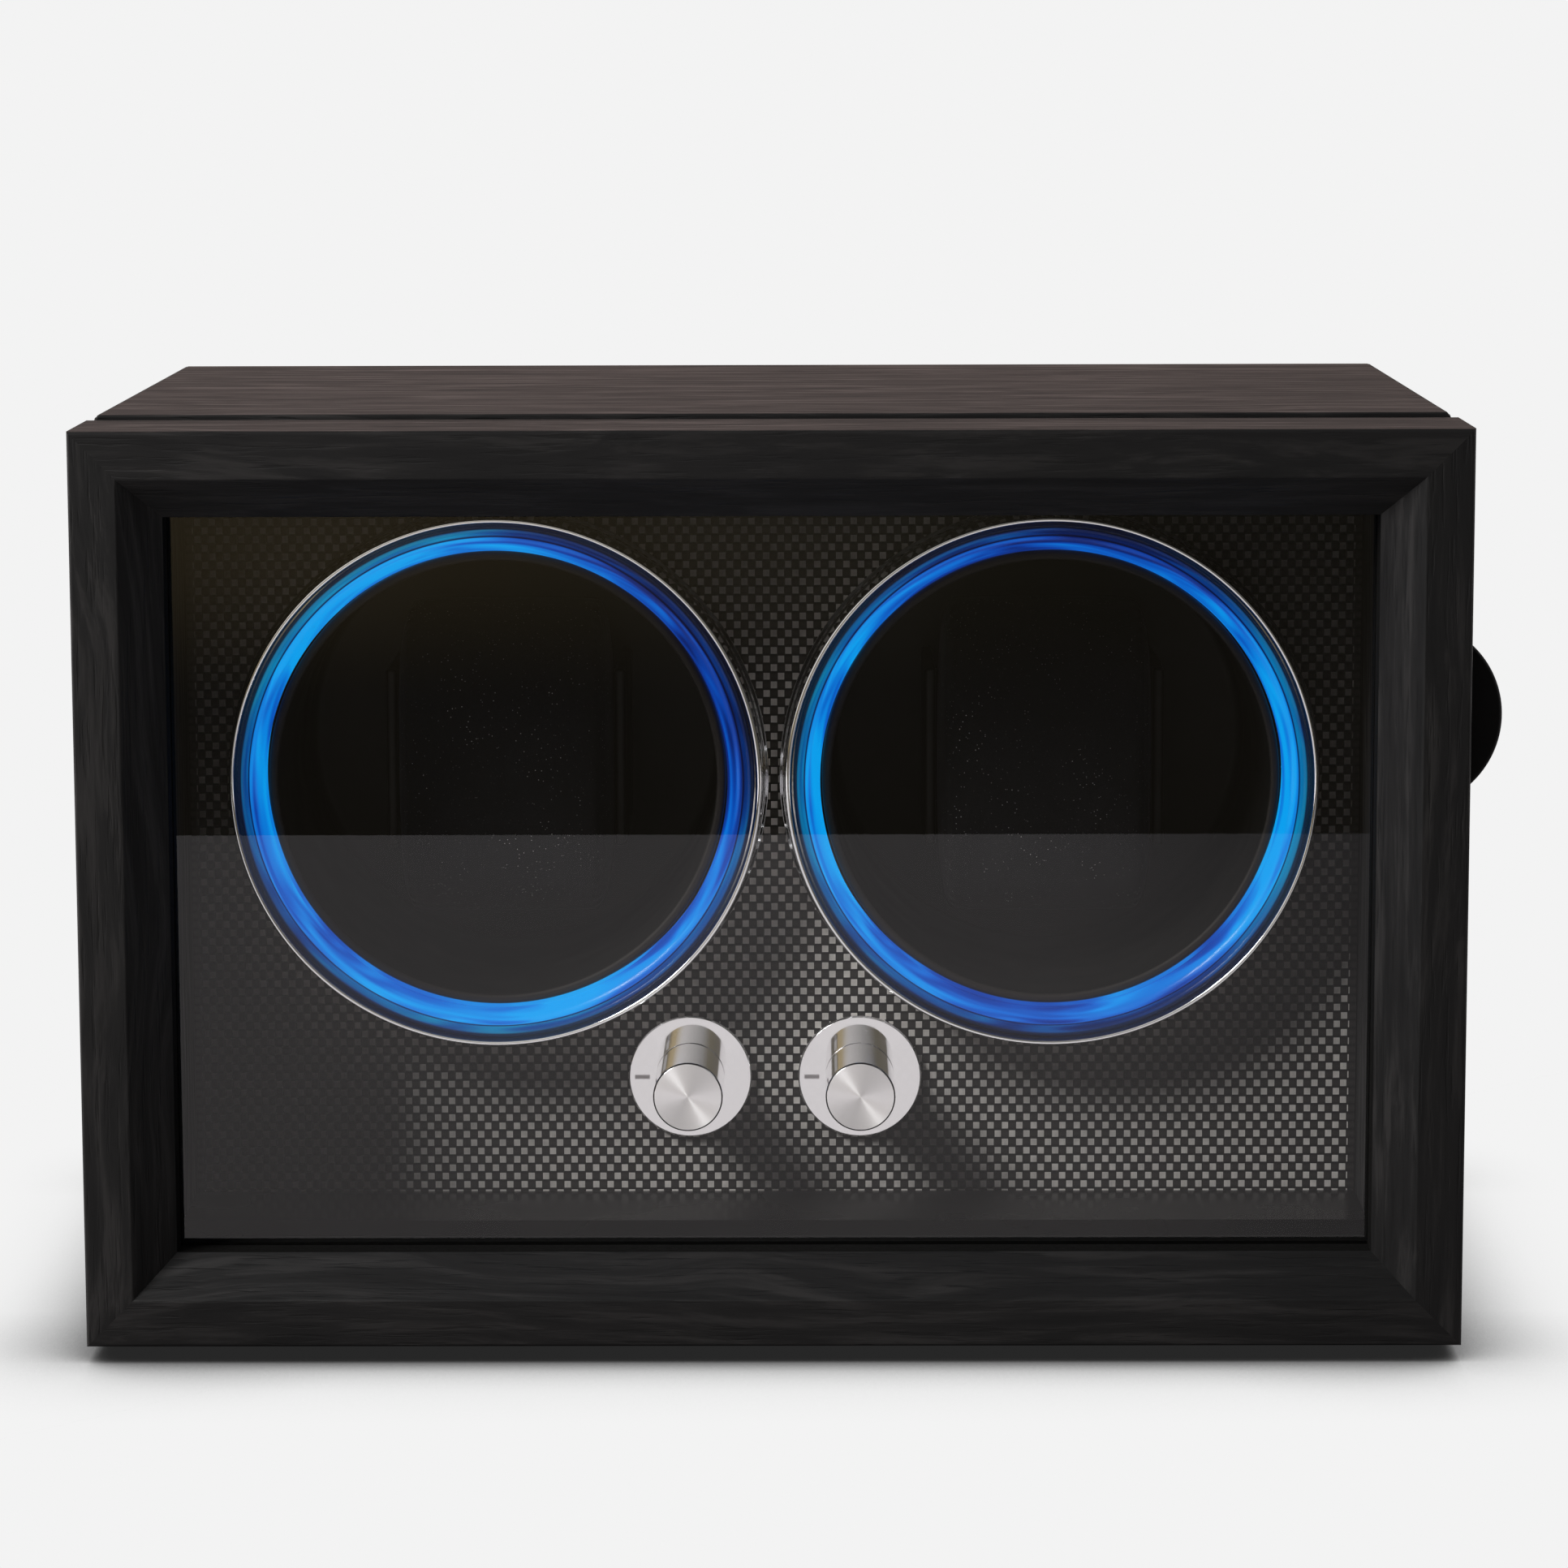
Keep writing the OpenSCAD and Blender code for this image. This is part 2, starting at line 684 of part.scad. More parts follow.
module cup_gear(side) {
    x = side * drum_x;
    web_hole_r = 4;
    web_hole_ring_r = gear_pitch_r - 9;
    color("#efe9dc") difference() {
        union() {
            translate([x, 0, drum_z]) plate_at(gear_y + 1, gear_w - 2) gear_outline(gear_teeth, -90);
            rod(x, drum_z, hub_r - 1, gear_y, gear_w);
        }
        rod(x, drum_z, axle_r + press, gear_y - past, gear_w + 2 * past);
        for (i = [0:5]) rod(x + web_hole_ring_r * cos(60 * i), drum_z + web_hole_ring_r * sin(60 * i),
                            web_hole_r, gear_y - past, gear_w + 2 * past);
    }
}

module cup_axle(side) {
    x = side * drum_x;
    color("#c4c7ca") difference() {
        turned(x, drum_z) polygon([
            [0, cup_floor_y], [axle_head_r - 0.3, cup_floor_y], [axle_head_r, cup_floor_y + 0.3],
            [axle_head_r, cup_floor_y + axle_head_t], [axle_r, cup_floor_y + axle_head_t],
            [axle_r, axle_end_y + 1.6], [axle_r - 0.4, axle_end_y + 2], [0, axle_end_y + 2]
        ]);
        translate([x, cup_floor_y, drum_z]) cube([axle_head_r * 1.5, 1.8, 1], center = true);
    }
}

module cup(side) {
    x = side * drum_x;
    lip = cup_wall / 2;
    color("#111112") difference() {
        union() {
            turned(x, drum_z) polygon([
                [axle_r + press, cup_floor_y + axle_head_t], [axle_head_r + slip, cup_floor_y + axle_head_t],
                [axle_head_r + slip, cup_floor_y], [cup_r - 2, cup_floor_y], [cup_r, cup_floor_y - 2],
                [cup_r, cup_y + lip], [cup_r + 0.25, cup_y + 0.25], [cup_r + lip, cup_y],
                [cup_out_r - 0.25, cup_y + 0.25], [cup_out_r, cup_y + lip],
                [cup_out_r, cup_floor_y + cup_floor_t], [hub_r, cup_floor_y + cup_floor_t],
                [hub_r, cup_floor_y + cup_floor_t + hub_l], [axle_r + press, cup_floor_y + cup_floor_t + hub_l]
            ]);
            for (s = [-1, 1]) {
                translate([x, 0, drum_z]) plate_at(cup_floor_y - cheek_l, cheek_l + 0.5)
                    translate([s * (cheek_x + cheek_t / 2), 0]) square([cheek_t, cheek_h], center = true);
                translate([x, 0, drum_z]) plate_at(cup_floor_y - clasp_gap + soft_gap, clasp_gap)
                    translate([s * (cheek_x - 1.5), 0]) square([4, cheek_h - 8], center = true);
            }
        }
    }
}

module watch_pillow(side) {
    x = side * drum_x;
    color("#1c1b1d") translate([x - pillow_w / 2, pillow_y + pillow_t / 2, drum_z])
        rotate([90, 0, 90]) linear_extrude(pillow_w) round_rect(pillow_t, pillow_h, pillow_round);
}

// ---------- knobs, switches and electronics ----------

module knob_flange(side) {
    color("#d5d7da") turned(side * knob_x, knob_z) polygon([
        [bushing_r + fit, flange_y], [flange_r - 0.5, flange_y], [flange_r - 0.15, flange_y + 0.15],
        [flange_r, flange_y + 0.5], [flange_r, fascia_y], [bushing_r + fit, fascia_y]
    ]);
}

module knob(side) {
    x = side * knob_x;
    color("#d9dadc") difference() {
        turned(x, knob_z) polygon([
            [0, knob_y], [knob_r - 0.7, knob_y], [knob_r - 0.4, knob_y + 0.1], [knob_r - 0.1, knob_y + 0.4],
            [knob_r, knob_y + 0.7], [knob_r, knob_back_y], [bushing_r + 0.3, knob_back_y],
            [bushing_r + 0.3, knob_back_y - knob_skirt], [spindle_r + press, knob_back_y - knob_skirt],
            [spindle_r + press, knob_back_y - spindle_grip - slip], [0, knob_back_y - spindle_grip - slip]
        ]);
        translate([x, knob_y + index_inset, knob_z]) rotate([0, -knob_angle, 0])
            translate([knob_r - index_d, 0, -index_w / 2]) cube([past, knob_l - 2 * index_inset, index_w]);
    }
}

module knob_spindle(side) {
    x = side * knob_x;
    color("#a9acb0") turned(x, knob_z) polygon([
        [0, knob_back_y - spindle_grip], [spindle_r - 0.4, knob_back_y - spindle_grip],
        [spindle_r, knob_back_y - spindle_grip + 0.4],
        [spindle_r, board_y - 2], [0, board_y - 2]
    ]);
}

module rotary_switch(side) {
    x = side * knob_x;
    color("#3b4046") difference() {
        union() {
            rod(x, knob_z, bushing_r, flange_y, board_y - flange_y);
            plate_at(fascia_back_y, switch_d)
                translate([x, knob_z]) round_rect(switch_w, switch_w, 2);
        }
        rod(x, knob_z, spindle_r + fit, flange_y - past, board_y - 1.5 - flange_y + past);
    }
}

module control_board() {
    parts_y = board_y + board_pcb_t - 0.1;
    chip_t = 1.7;
    plug_l = 6;
    can_r = 2.5;
    can_l = 7;
    hole_inset = 2.5;
    color("#1f6b45") difference() {
        union() {
            plate_at(board_y, board_pcb_t) translate([0, knob_z]) round_rect(board_w, board_h, 1.5);
            // processor, driver chips, plug headers and capacitors on the rear face
            plate_at(parts_y, chip_t) translate([0, knob_z]) square([10, 7], center = true);
            for (s = [-1, 1]) {
                plate_at(parts_y, chip_t) translate([s * 14, knob_z]) square([5, 6], center = true);
                plate_at(parts_y, plug_l) translate([s * 27, knob_z + 5]) square([8, 6], center = true);
                plate_at(parts_y, plug_l) translate([s * 27, knob_z - 6]) square([6, 6], center = true);
                rod(s * 7, knob_z - 8, can_r, parts_y, can_l);
            }
        }
        for (x = [-1, 1], z = [-1, 1])
            rod(x * (board_w / 2 - hole_inset), knob_z + z * (board_h / 2 - hole_inset), 1.1,
                board_y - past, board_pcb_t + 2 * past);
    }
}

socket_body_r = 5.5;
socket_flange_r = 7;
socket_bore_r = 3.1;
socket_pin_r = 1;
socket_l = 14;
socket_floor_t = 3;
fitting_rim_t = 1.2;  // rim of a back fitting outside the panel
fitting_nut_t = 2;    // ring nut of a back fitting inside the panel

module power_socket() {
    color("#151515")
        turned(socket_x, fitting_z) polygon([
            [socket_bore_r, panel_out_y + fitting_rim_t], [socket_flange_r - 0.4, panel_out_y + fitting_rim_t],
            [socket_flange_r, panel_out_y + 0.8], [socket_flange_r, panel_out_y],
            [socket_body_r, panel_out_y], [socket_body_r, panel_in_y], [socket_flange_r + 1, panel_in_y],
            [socket_flange_r + 1, panel_in_y - fitting_nut_t], [socket_body_r, panel_in_y - fitting_nut_t],
            [socket_body_r, panel_out_y - socket_l], [socket_pin_r + press, panel_out_y - socket_l],
            [socket_pin_r + press, panel_out_y - socket_l + socket_floor_t],
            [socket_bore_r, panel_out_y - socket_l + socket_floor_t]
        ]);
}

module socket_pin() {
    color("#c9b06a") rod(socket_x, fitting_z, socket_pin_r, panel_out_y - socket_l, socket_l);
}

button_body_r = 7;
button_flange_r = 8.5;
button_out = 3.5;
button_body_l = 12;

module light_switch_body() {
    color("#1b1b1b") turned(button_x, fitting_z) polygon([
        [button_r + 0.1, panel_out_y + fitting_rim_t], [button_flange_r - 0.5, panel_out_y + fitting_rim_t],
        [button_flange_r, panel_out_y + 0.7], [button_flange_r, panel_out_y],
        [button_body_r, panel_out_y], [button_body_r, panel_in_y], [button_flange_r + 1, panel_in_y],
        [button_flange_r + 1, panel_in_y - fitting_nut_t], [button_body_r, panel_in_y - fitting_nut_t],
        [button_body_r, panel_in_y - button_body_l], [0, panel_in_y - button_body_l],
        [0, panel_in_y - 1], [button_r + 0.1, panel_in_y - 1]
    ]);
}

module light_button() {
    color("#4b4f55") turned(button_x, fitting_z) polygon([
        [0, panel_in_y - 1 + button_travel + 0.3], [button_r, panel_in_y - 1 + button_travel + 0.3],
        [button_r, panel_out_y + button_out - 0.6], [button_r - 0.3, panel_out_y + button_out - 0.2],
        [button_r - 0.8, panel_out_y + button_out], [0, panel_out_y + button_out]
    ]);
}

// ---------- hinges and catch ----------

// Lengths of knuckle along one hinge: the door's outer two, the case's middle one.
door_knuckles = [[0, hinge_h / 4 - knuckle_gap], [3 * hinge_h / 4 + knuckle_gap, hinge_h]];
case_knuckles = [[hinge_h / 4, 3 * hinge_h / 4]];

module knuckles(z, spans, bore) {
    for (s = spans) translate([hinge_x, hinge_y, z + s[0]]) difference() {
        cylinder(r = knuckle_r, h = s[1] - s[0]);
        translate([0, 0, -past]) cylinder(r = bore, h = s[1] - s[0] + 2 * past);
    }
}

// Countersunk screw holes through a leaf, as heights along the hinge.
leaf_screw_zs = [hinge_h / 6, hinge_h / 2, 5 * hinge_h / 6];
leaf_screw_r = 1.3;
leaf_screw_head_r = 2.2;

module leaf_holes(x, y, z) {
    for (h = leaf_screw_zs) translate([x, y, z + h]) rotate([0, 90, 0]) {
        translate([0, 0, -past]) cylinder(r = leaf_screw_r, h = leaf_t + 2 * past);
        translate([0, 0, -0.01])
            cylinder(r1 = leaf_screw_head_r, r2 = leaf_screw_r, h = leaf_screw_head_r - leaf_screw_r);
    }
}

module door_hinge_leaves() {
    color("#2f2f31") for (z = hinge_zs) difference() {
        union() {
            knuckles(z, door_knuckles, pin_r + fit);
            block([-door_w / 2, hinge_y - leaf_w, z], [-door_w / 2 + leaf_t, hinge_y - knuckle_r - 0.4, z + hinge_h]);
            for (s = door_knuckles) difference() {
                block([-door_w / 2, hinge_y - knuckle_r - 0.5, z + s[0]], [-door_w / 2 + leaf_t, hinge_y, z + s[1]]);
                translate([hinge_x, hinge_y, z]) cylinder(r = knuckle_r - 0.3, h = hinge_h);
            }
        }
        leaf_holes(-door_w / 2, hinge_y - leaf_w / 2 - 1, z);
    }
}

module case_hinge_leaves() {
    color("#2f2f31") for (z = hinge_zs) difference() {
        union() {
            knuckles(z, case_knuckles, pin_r + press);
            block([-case_w / 2, hinge_y + knuckle_r + 0.4, z], [-case_w / 2 + leaf_t, hinge_y + leaf_w, z + hinge_h]);
            for (s = case_knuckles) difference() {
                block([-door_w / 2 - hinge_out / 5, hinge_y + seam / 2, z + s[0]],
                      [-case_w / 2 + leaf_t, hinge_y + knuckle_r + 0.5, z + s[1]]);
                translate([hinge_x, hinge_y, z]) cylinder(r = knuckle_r - 0.3, h = hinge_h);
            }
        }
        leaf_holes(-case_w / 2, hinge_y + leaf_w / 2 + 1, z);
    }
}

module hinge_pins() {
    head_t = 0.6;
    gap = 0.2;
    color("#8b8d90") for (z = hinge_zs) translate([hinge_x, hinge_y, z - gap - head_t]) {
        cylinder(r = pin_r, h = hinge_h + 2 * (gap + head_t));
        for (end = [0, hinge_h + 2 * gap + head_t]) translate([0, 0, end]) cylinder(r = knuckle_r - 0.2, h = head_t);
    }
}

module catch_magnets() {
    color("#a8adb2") for (z = catch_zs) rod(catch_x, z, catch_r, door_back_y - catch_d, catch_d);
}

module catch_plates() {
    color("#8f9499") for (z = catch_zs) rod(catch_x, z, catch_r, case_y, catch_d - 0.1);
}

// ---------- door ----------

// Section of the frame: x from the outer edge inwards, y as in the whole model.
module frame_section() {
    ease = 0.4;
    polygon([
        [0, front_y + ease], [ease, front_y], [band_w, front_y], [frame_w, bevel_y], [frame_w, glass_y],
        [frame_w - glass_rebate, glass_y], [frame_w - glass_rebate, door_back_y],
        [ease * 2, door_back_y], [0, door_back_y - ease * 2]
    ]);
}

module frame_piece(side) {
    upright = side == "left" || side == "right";
    half = upright ? door_w / 2 : door_h / 2;
    length = upright ? door_h : door_w;
    intersection() {
        translate([0, 0, mid_z]) {
            if (upright)
                mirror([side == "right" ? 1 : 0, 0, 0]) translate([-half, 0, -length / 2])
                    linear_extrude(length) frame_section();
            else
                mirror([0, 0, side == "top" ? 1 : 0]) translate([-length / 2, 0, -half])
                    rotate([90, 0, 90]) linear_extrude(length) mirror([1, -1]) frame_section();
        }
        translate([0, 0, mid_z]) plate_at(front_y - past, door_t + 2 * past)
            mitre_wedge(side, door_w, door_h, frame_w);
    }
}

module door_top_rail() {
    color("#211e1e") frame_piece("top");
}

module door_bottom_rail() {
    color("#211e1e") frame_piece("bottom");
}

module door_left_stile() {
    color("#262223") difference() {
        frame_piece("left");
        for (z = hinge_zs)
            block([-door_w / 2 - past, hinge_y - leaf_w - fit, z - slip / 2],
                  [-door_w / 2 + leaf_t + fit, door_back_y + past, z + hinge_h + slip / 2]);
        for (z = hinge_zs) translate([hinge_x, hinge_y, z - past])
            cylinder(r = knuckle_r + 0.2, h = hinge_h + 2 * past);
    }
}

peg_r = 2;
peg_l = 5;
pull_y = front_y + door_t / 2;
pull_z = mid_z + pull_rise;
peg_zs = [pull_z - 6, pull_z + 6];

module door_right_stile() {
    color("#262223") difference() {
        frame_piece("right");
        for (z = catch_zs) rod(catch_x, z, catch_r + fit, door_back_y - catch_d - fit, catch_d + past);
        for (z = peg_zs) translate([door_w / 2 - peg_l - fit, pull_y, z]) rotate([0, 90, 0])
            cylinder(r = peg_r + fit, h = peg_l + past);
    }
}

module door_pull() {
    centre_x = door_w / 2 + pull_out - pull_r;
    soft = 2.5;
    color("#0d0d0e") {
        intersection() {
            translate([0, pull_y - pull_t / 2, 0]) turned(centre_x, pull_z) polygon([
                [0, 0], [pull_r - soft, 0],
                for (a = [15:15:75]) [pull_r - soft + soft * sin(a), soft - soft * cos(a)],
                [pull_r, soft], [pull_r, pull_t - soft],
                for (a = [15:15:75]) [pull_r - soft + soft * cos(a), pull_t - soft + soft * sin(a)],
                [pull_r - soft, pull_t], [0, pull_t]
            ]);
            block([door_w / 2, front_y, pull_z - pull_r], [door_w / 2 + pull_r, door_back_y, pull_z + pull_r]);
        }
        for (z = peg_zs) translate([door_w / 2 - peg_l, pull_y, z]) rotate([0, 90, 0])
            cylinder(r = peg_r, h = peg_l + 1);
    }
}

pane_w = door_w - 2 * (frame_w - glass_rebate) - 2 * slip;
pane_h = door_h - 2 * (frame_w - glass_rebate) - 2 * slip;

module door_glass() {
    color("#5a626b", 0.35) translate([0, 0, mid_z]) plate_at(glass_y, glass_t) square([pane_w, pane_h], center = true);
}

module glazing_beads() {
    bead_w = glass_rebate - slip - 0.2;
    color("#141213") translate([0, 0, mid_z]) for (s = [-1, 1]) {
        plate_at(glass_back_y, bead_d) translate([0, s * (pane_h - bead_w) / 2]) square([pane_w, bead_w], center = true);
        plate_at(glass_back_y, bead_d) translate([s * (pane_w - bead_w) / 2, 0])
            square([bead_w, pane_h - 2 * bead_w - 0.2], center = true);
    }
}

// ---------- nodes ----------

case_top();
case_bottom();
case_left_side();
case_right_side();
back_panel();
back_screws();
rubber_feet();
fascia_panel();
fascia_battens();
compartment_floor();
bezel(LEFT);  // bezel_left
bezel(RIGHT);  // bezel_right
light_ring(LEFT);  // light_ring_left
light_ring(RIGHT);  // light_ring_right
led_board(LEFT);  // led_board_left
led_board(RIGHT);  // led_board_right
drum_housing(LEFT);  // drum_housing_left
drum_housing(RIGHT);  // drum_housing_right
drum_backs();
drive_screws();
axle_bushes();
motor_plate(LEFT);  // motor_plate_left
motor_plate(RIGHT);  // motor_plate_right
gearmotor(LEFT);  // gearmotor_left
gearmotor(RIGHT);  // gearmotor_right
rotary_switch(LEFT);  // rotary_switch_left
rotary_switch(RIGHT);  // rotary_switch_right
knob_flange(LEFT);  // knob_flange_left
knob_flange(RIGHT);  // knob_flange_right
control_board();
power_socket();
socket_pin();
light_switch_body();
case_hinge_leaves();
hinge_pins();
catch_plates();
door_top_rail();
door_bottom_rail();
door_left_stile();
door_right_stile();
door_glass();
glazing_beads();
door_pull();
door_hinge_leaves();
catch_magnets();
cup(LEFT);  // cup_left
cup(RIGHT);  // cup_right
cup_gear(LEFT);  // cup_gear_left
cup_gear(RIGHT);  // cup_gear_right
cup_axle(LEFT);  // cup_axle_left
cup_axle(RIGHT);  // cup_axle_right
motor_pinion(LEFT);  // motor_pinion_left
motor_pinion(RIGHT);  // motor_pinion_right
knob(LEFT);  // knob_left
knob(RIGHT);  // knob_right
knob_spindle(LEFT);  // knob_spindle_left
knob_spindle(RIGHT);  // knob_spindle_right
light_button();
watch_pillow(LEFT);  // watch_pillow_left
watch_pillow(RIGHT);  // watch_pillow_right
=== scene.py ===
"""Two-place watch winder with a framed glass door, lit cup mouths and mode knobs."""
import math

import bmesh
import bpy
from mathutils import Matrix, Vector, noise


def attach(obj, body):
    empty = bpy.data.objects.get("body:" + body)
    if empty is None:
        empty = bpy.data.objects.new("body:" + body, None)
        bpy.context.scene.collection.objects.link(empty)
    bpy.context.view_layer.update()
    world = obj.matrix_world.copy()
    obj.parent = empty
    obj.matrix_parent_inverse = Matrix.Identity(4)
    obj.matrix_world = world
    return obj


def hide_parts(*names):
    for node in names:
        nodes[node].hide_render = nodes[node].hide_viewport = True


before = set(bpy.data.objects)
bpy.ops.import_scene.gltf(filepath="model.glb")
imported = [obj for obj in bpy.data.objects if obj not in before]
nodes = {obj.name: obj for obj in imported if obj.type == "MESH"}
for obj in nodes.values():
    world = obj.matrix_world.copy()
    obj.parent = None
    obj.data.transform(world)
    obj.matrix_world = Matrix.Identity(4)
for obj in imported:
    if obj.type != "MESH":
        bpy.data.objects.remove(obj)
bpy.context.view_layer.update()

MM = 0.001
SIDES = {"left": -1, "right": 1}

# Depths and radii of the works, in mm
DOOR_FRONT, BEVEL_BACK, GLASS_FRONT, DOOR_BACK = -75.5, -68.5, -63.5, -50.0
DOOR_HALF_W, DOOR_HALF_H, MID_Z = 115.0, 76.7, 79.5
BAND, FRAME_W, GLASS_REBATE = 7.9, 14.7, 4.0
FASCIA_FRONT, FASCIA_BACK, RIM = -26.5, -21.5, -37.5
FILM_HALF_W = 100.6
MOUTH_X, MOUTH_Z = 47.9, 92.4
KNOB_X, KNOB_Z = 14.85, 39.1
CUP_RIM, CUP_FLOOR = -31.5, 27.5
CASE_FRONT, CASE_BACK, CASE_HALF_W, CASE_HALF_H = -49.5, 75.5, 114.0, 77.5
HINGE_X, HINGE_Y, HINGE_H, LEAF_W, LEAF_T = -116.0, -49.75, 32.0, 12.0, 1.2
HINGE_ZS = (22.0, 105.0)
MAGNET_X, MAGNET_ZS, MAGNET_FRONT = 109.0, (26.0, 133.0), -54.0
PULL_Y, PULL_Z, PULL_R, PULL_OUT, PULL_T = -62.75, 108.2, 15.9, 5.9, 12.0
PEG_ZS, PEG_R = (102.2, 114.2), 2.0
KNOB_CAP_Y, KNOB_CAP_R = -45.2, 5.74
MAGNET_R, KNUCKLE_R, SLACK = 3.5, 2.0, 0.05
CUT_BACK = -48.0

# ---------- camera ----------

IMAGE_SIDE = 1932
FOCAL_PIXELS = 6384
CAMERA_AT = Vector((7.6, -919.1, 221.9)) * MM
CAMERA_PITCH, CAMERA_YAW, CAMERA_ROLL = 0.1459, -0.0066, -0.0028


def place_camera():
    """A long lens straight in front of the box, a little above it."""
    data = bpy.data.cameras.new("camera")
    data.sensor_fit = "HORIZONTAL"
    data.sensor_width = 36
    data.lens = data.sensor_width * FOCAL_PIXELS / IMAGE_SIDE
    data.clip_start = 0.05
    data.clip_end = 50
    ahead = Vector((
        math.sin(CAMERA_YAW) * math.cos(CAMERA_PITCH),
        math.cos(CAMERA_YAW) * math.cos(CAMERA_PITCH),
        -math.sin(CAMERA_PITCH),
    ))
    level = Vector((math.cos(CAMERA_YAW), -math.sin(CAMERA_YAW), 0))
    upright = level.cross(ahead)
    right = math.cos(CAMERA_ROLL) * level + math.sin(CAMERA_ROLL) * upright
    up = math.cos(CAMERA_ROLL) * upright - math.sin(CAMERA_ROLL) * level
    camera = bpy.data.objects.new("camera", data)
    turn = Matrix((right, up, -ahead)).transposed().to_4x4()
    camera.matrix_world = Matrix.Translation(CAMERA_AT) @ turn
    bpy.context.scene.collection.objects.link(camera)
    bpy.context.scene.camera = camera


place_camera()

# ---------- studio ----------

scene = bpy.context.scene
scene.view_settings.view_transform = "Standard"
PAPER_WHITE = 0.896
MATT_LIGHT = 0.004
FLOOR_BOUNCE = 0.006
FLOOR_SIZE = 14
TABLE_END = -0.622
SHADE_REACH = 0.038
WINDOW_AT, WINDOW_AIM = (-0.72, -0.60, 0.80), (0.02, -0.03, 0.07)
WINDOW_W, WINDOW_H, WINDOW_POWER = 0.32, 0.4, 12


class Nodes:
    """Short hand for building a node tree."""

    def __init__(self, owner):
        owner.use_nodes = True
        self.tree = owner.node_tree
        self.tree.nodes.clear()

    def add(self, kind, **settings):
        node = self.tree.nodes.new("ShaderNode" + kind)
        for key, value in settings.items():
            setattr(node, key, value)
        return node

    def link(self, start, end):
        self.tree.links.new(start, end)

    def put(self, socket, value):
        if isinstance(value, bpy.types.NodeSocket):
            self.link(value, socket)
        elif isinstance(value, (tuple, list)) and len(value) == 3 and socket.type == "RGBA":
            socket.default_value = (*value, 1)
        else:
            socket.default_value = value

    def math(self, operation, *values, clamp=False):
        node = self.add("Math", operation=operation, use_clamp=clamp)
        for socket, value in zip(node.inputs, values):
            self.put(socket, value)
        return node.outputs[0]

    def mix(self, factor, first, second, blend="MIX"):
        node = self.add("Mix", data_type="RGBA", blend_type=blend)
        self.put(node.inputs[0], factor)
        self.put(node.inputs[6], first)
        self.put(node.inputs[7], second)
        return node.outputs[2]

    def ramp(self, factor, stops, interpolation="LINEAR"):
        node = self.add("ValToRGB")
        node.color_ramp.interpolation = interpolation
        points = node.color_ramp.elements
        while len(points) < len(stops):
            points.new(0.5)
        for point, (place, value) in zip(points, stops):
            point.position = place
            point.color = (value, value, value, 1) if isinstance(value, (int, float)) else (*value, 1)
        self.put(node.inputs[0], factor)
        return node.outputs[0]

    def place(self, scale=(1, 1, 1), turn=(0, 0, 0), shift=(0, 0, 0)):
        """Object coordinates, centred, turned and stretched."""
        coordinates = self.add("TexCoord")
        mapping = self.add("Mapping")
        self.link(coordinates.outputs["Object"], mapping.inputs["Vector"])
        mapping.inputs["Scale"].default_value = scale
        mapping.inputs["Rotation"].default_value = turn
        mapping.inputs["Location"].default_value = shift
        return mapping.outputs[0]

    def scalar_vector(self, value):
        joined = self.add("CombineXYZ")
        self.put(joined.inputs[0], value)
        return joined.outputs[0]

    def noise(self, vector, scale, detail=3, rough=0.55, warp=0.0):
        node = self.add("TexNoise")
        self.link(vector, node.inputs["Vector"])
        node.inputs["Scale"].default_value = scale
        node.inputs["Detail"].default_value = detail
        node.inputs["Roughness"].default_value = rough
        node.inputs["Distortion"].default_value = warp
        return node.outputs["Fac"]

    def bump(self, height, strength, distance, before=None):
        node = self.add("Bump")
        self.put(node.inputs["Height"], height)
        node.inputs["Strength"].default_value = strength
        node.inputs["Distance"].default_value = distance
        if before is not None:
            self.link(before, node.inputs["Normal"])
        return node.outputs[0]

    def split(self, vector):
        """The x, y and z of a vector."""
        node = self.add("SeparateXYZ")
        self.link(vector, node.inputs[0])
        return node.outputs

    def in_mm(self, centre=(0, 0)):
        """Object coordinates in mm, from a line along Y through centre (x, z)."""
        return self.place((1 / MM, 1 / MM, 1 / MM), shift=(-centre[0], 0, -centre[1]))

    def output(self, shader, kind="OutputMaterial"):
        self.link(shader, self.add(kind).inputs["Surface"])


def surface(name, **values):
    """A principled material; values are set or linked by socket name."""
    material = bpy.data.materials.new(name)
    build = Nodes(material)
    shader = build.add("BsdfPrincipled")
    build.output(shader.outputs[0])
    for key, value in values.items():
        build.put(shader.inputs[key.replace("_", " ")], value)
    return material, build, shader


def grey(level):
    """An even grey."""
    return (level, level, level)


def studio_surface(shape, name, material):
    """A surface of the studio, which isn't part of the object."""
    mesh = bpy.data.meshes.new(name)
    shape.to_mesh(mesh)
    shape.free()
    mesh.materials.append(material)
    prop = bpy.data.objects.new(name, mesh)
    scene.collection.objects.link(prop)
    return prop


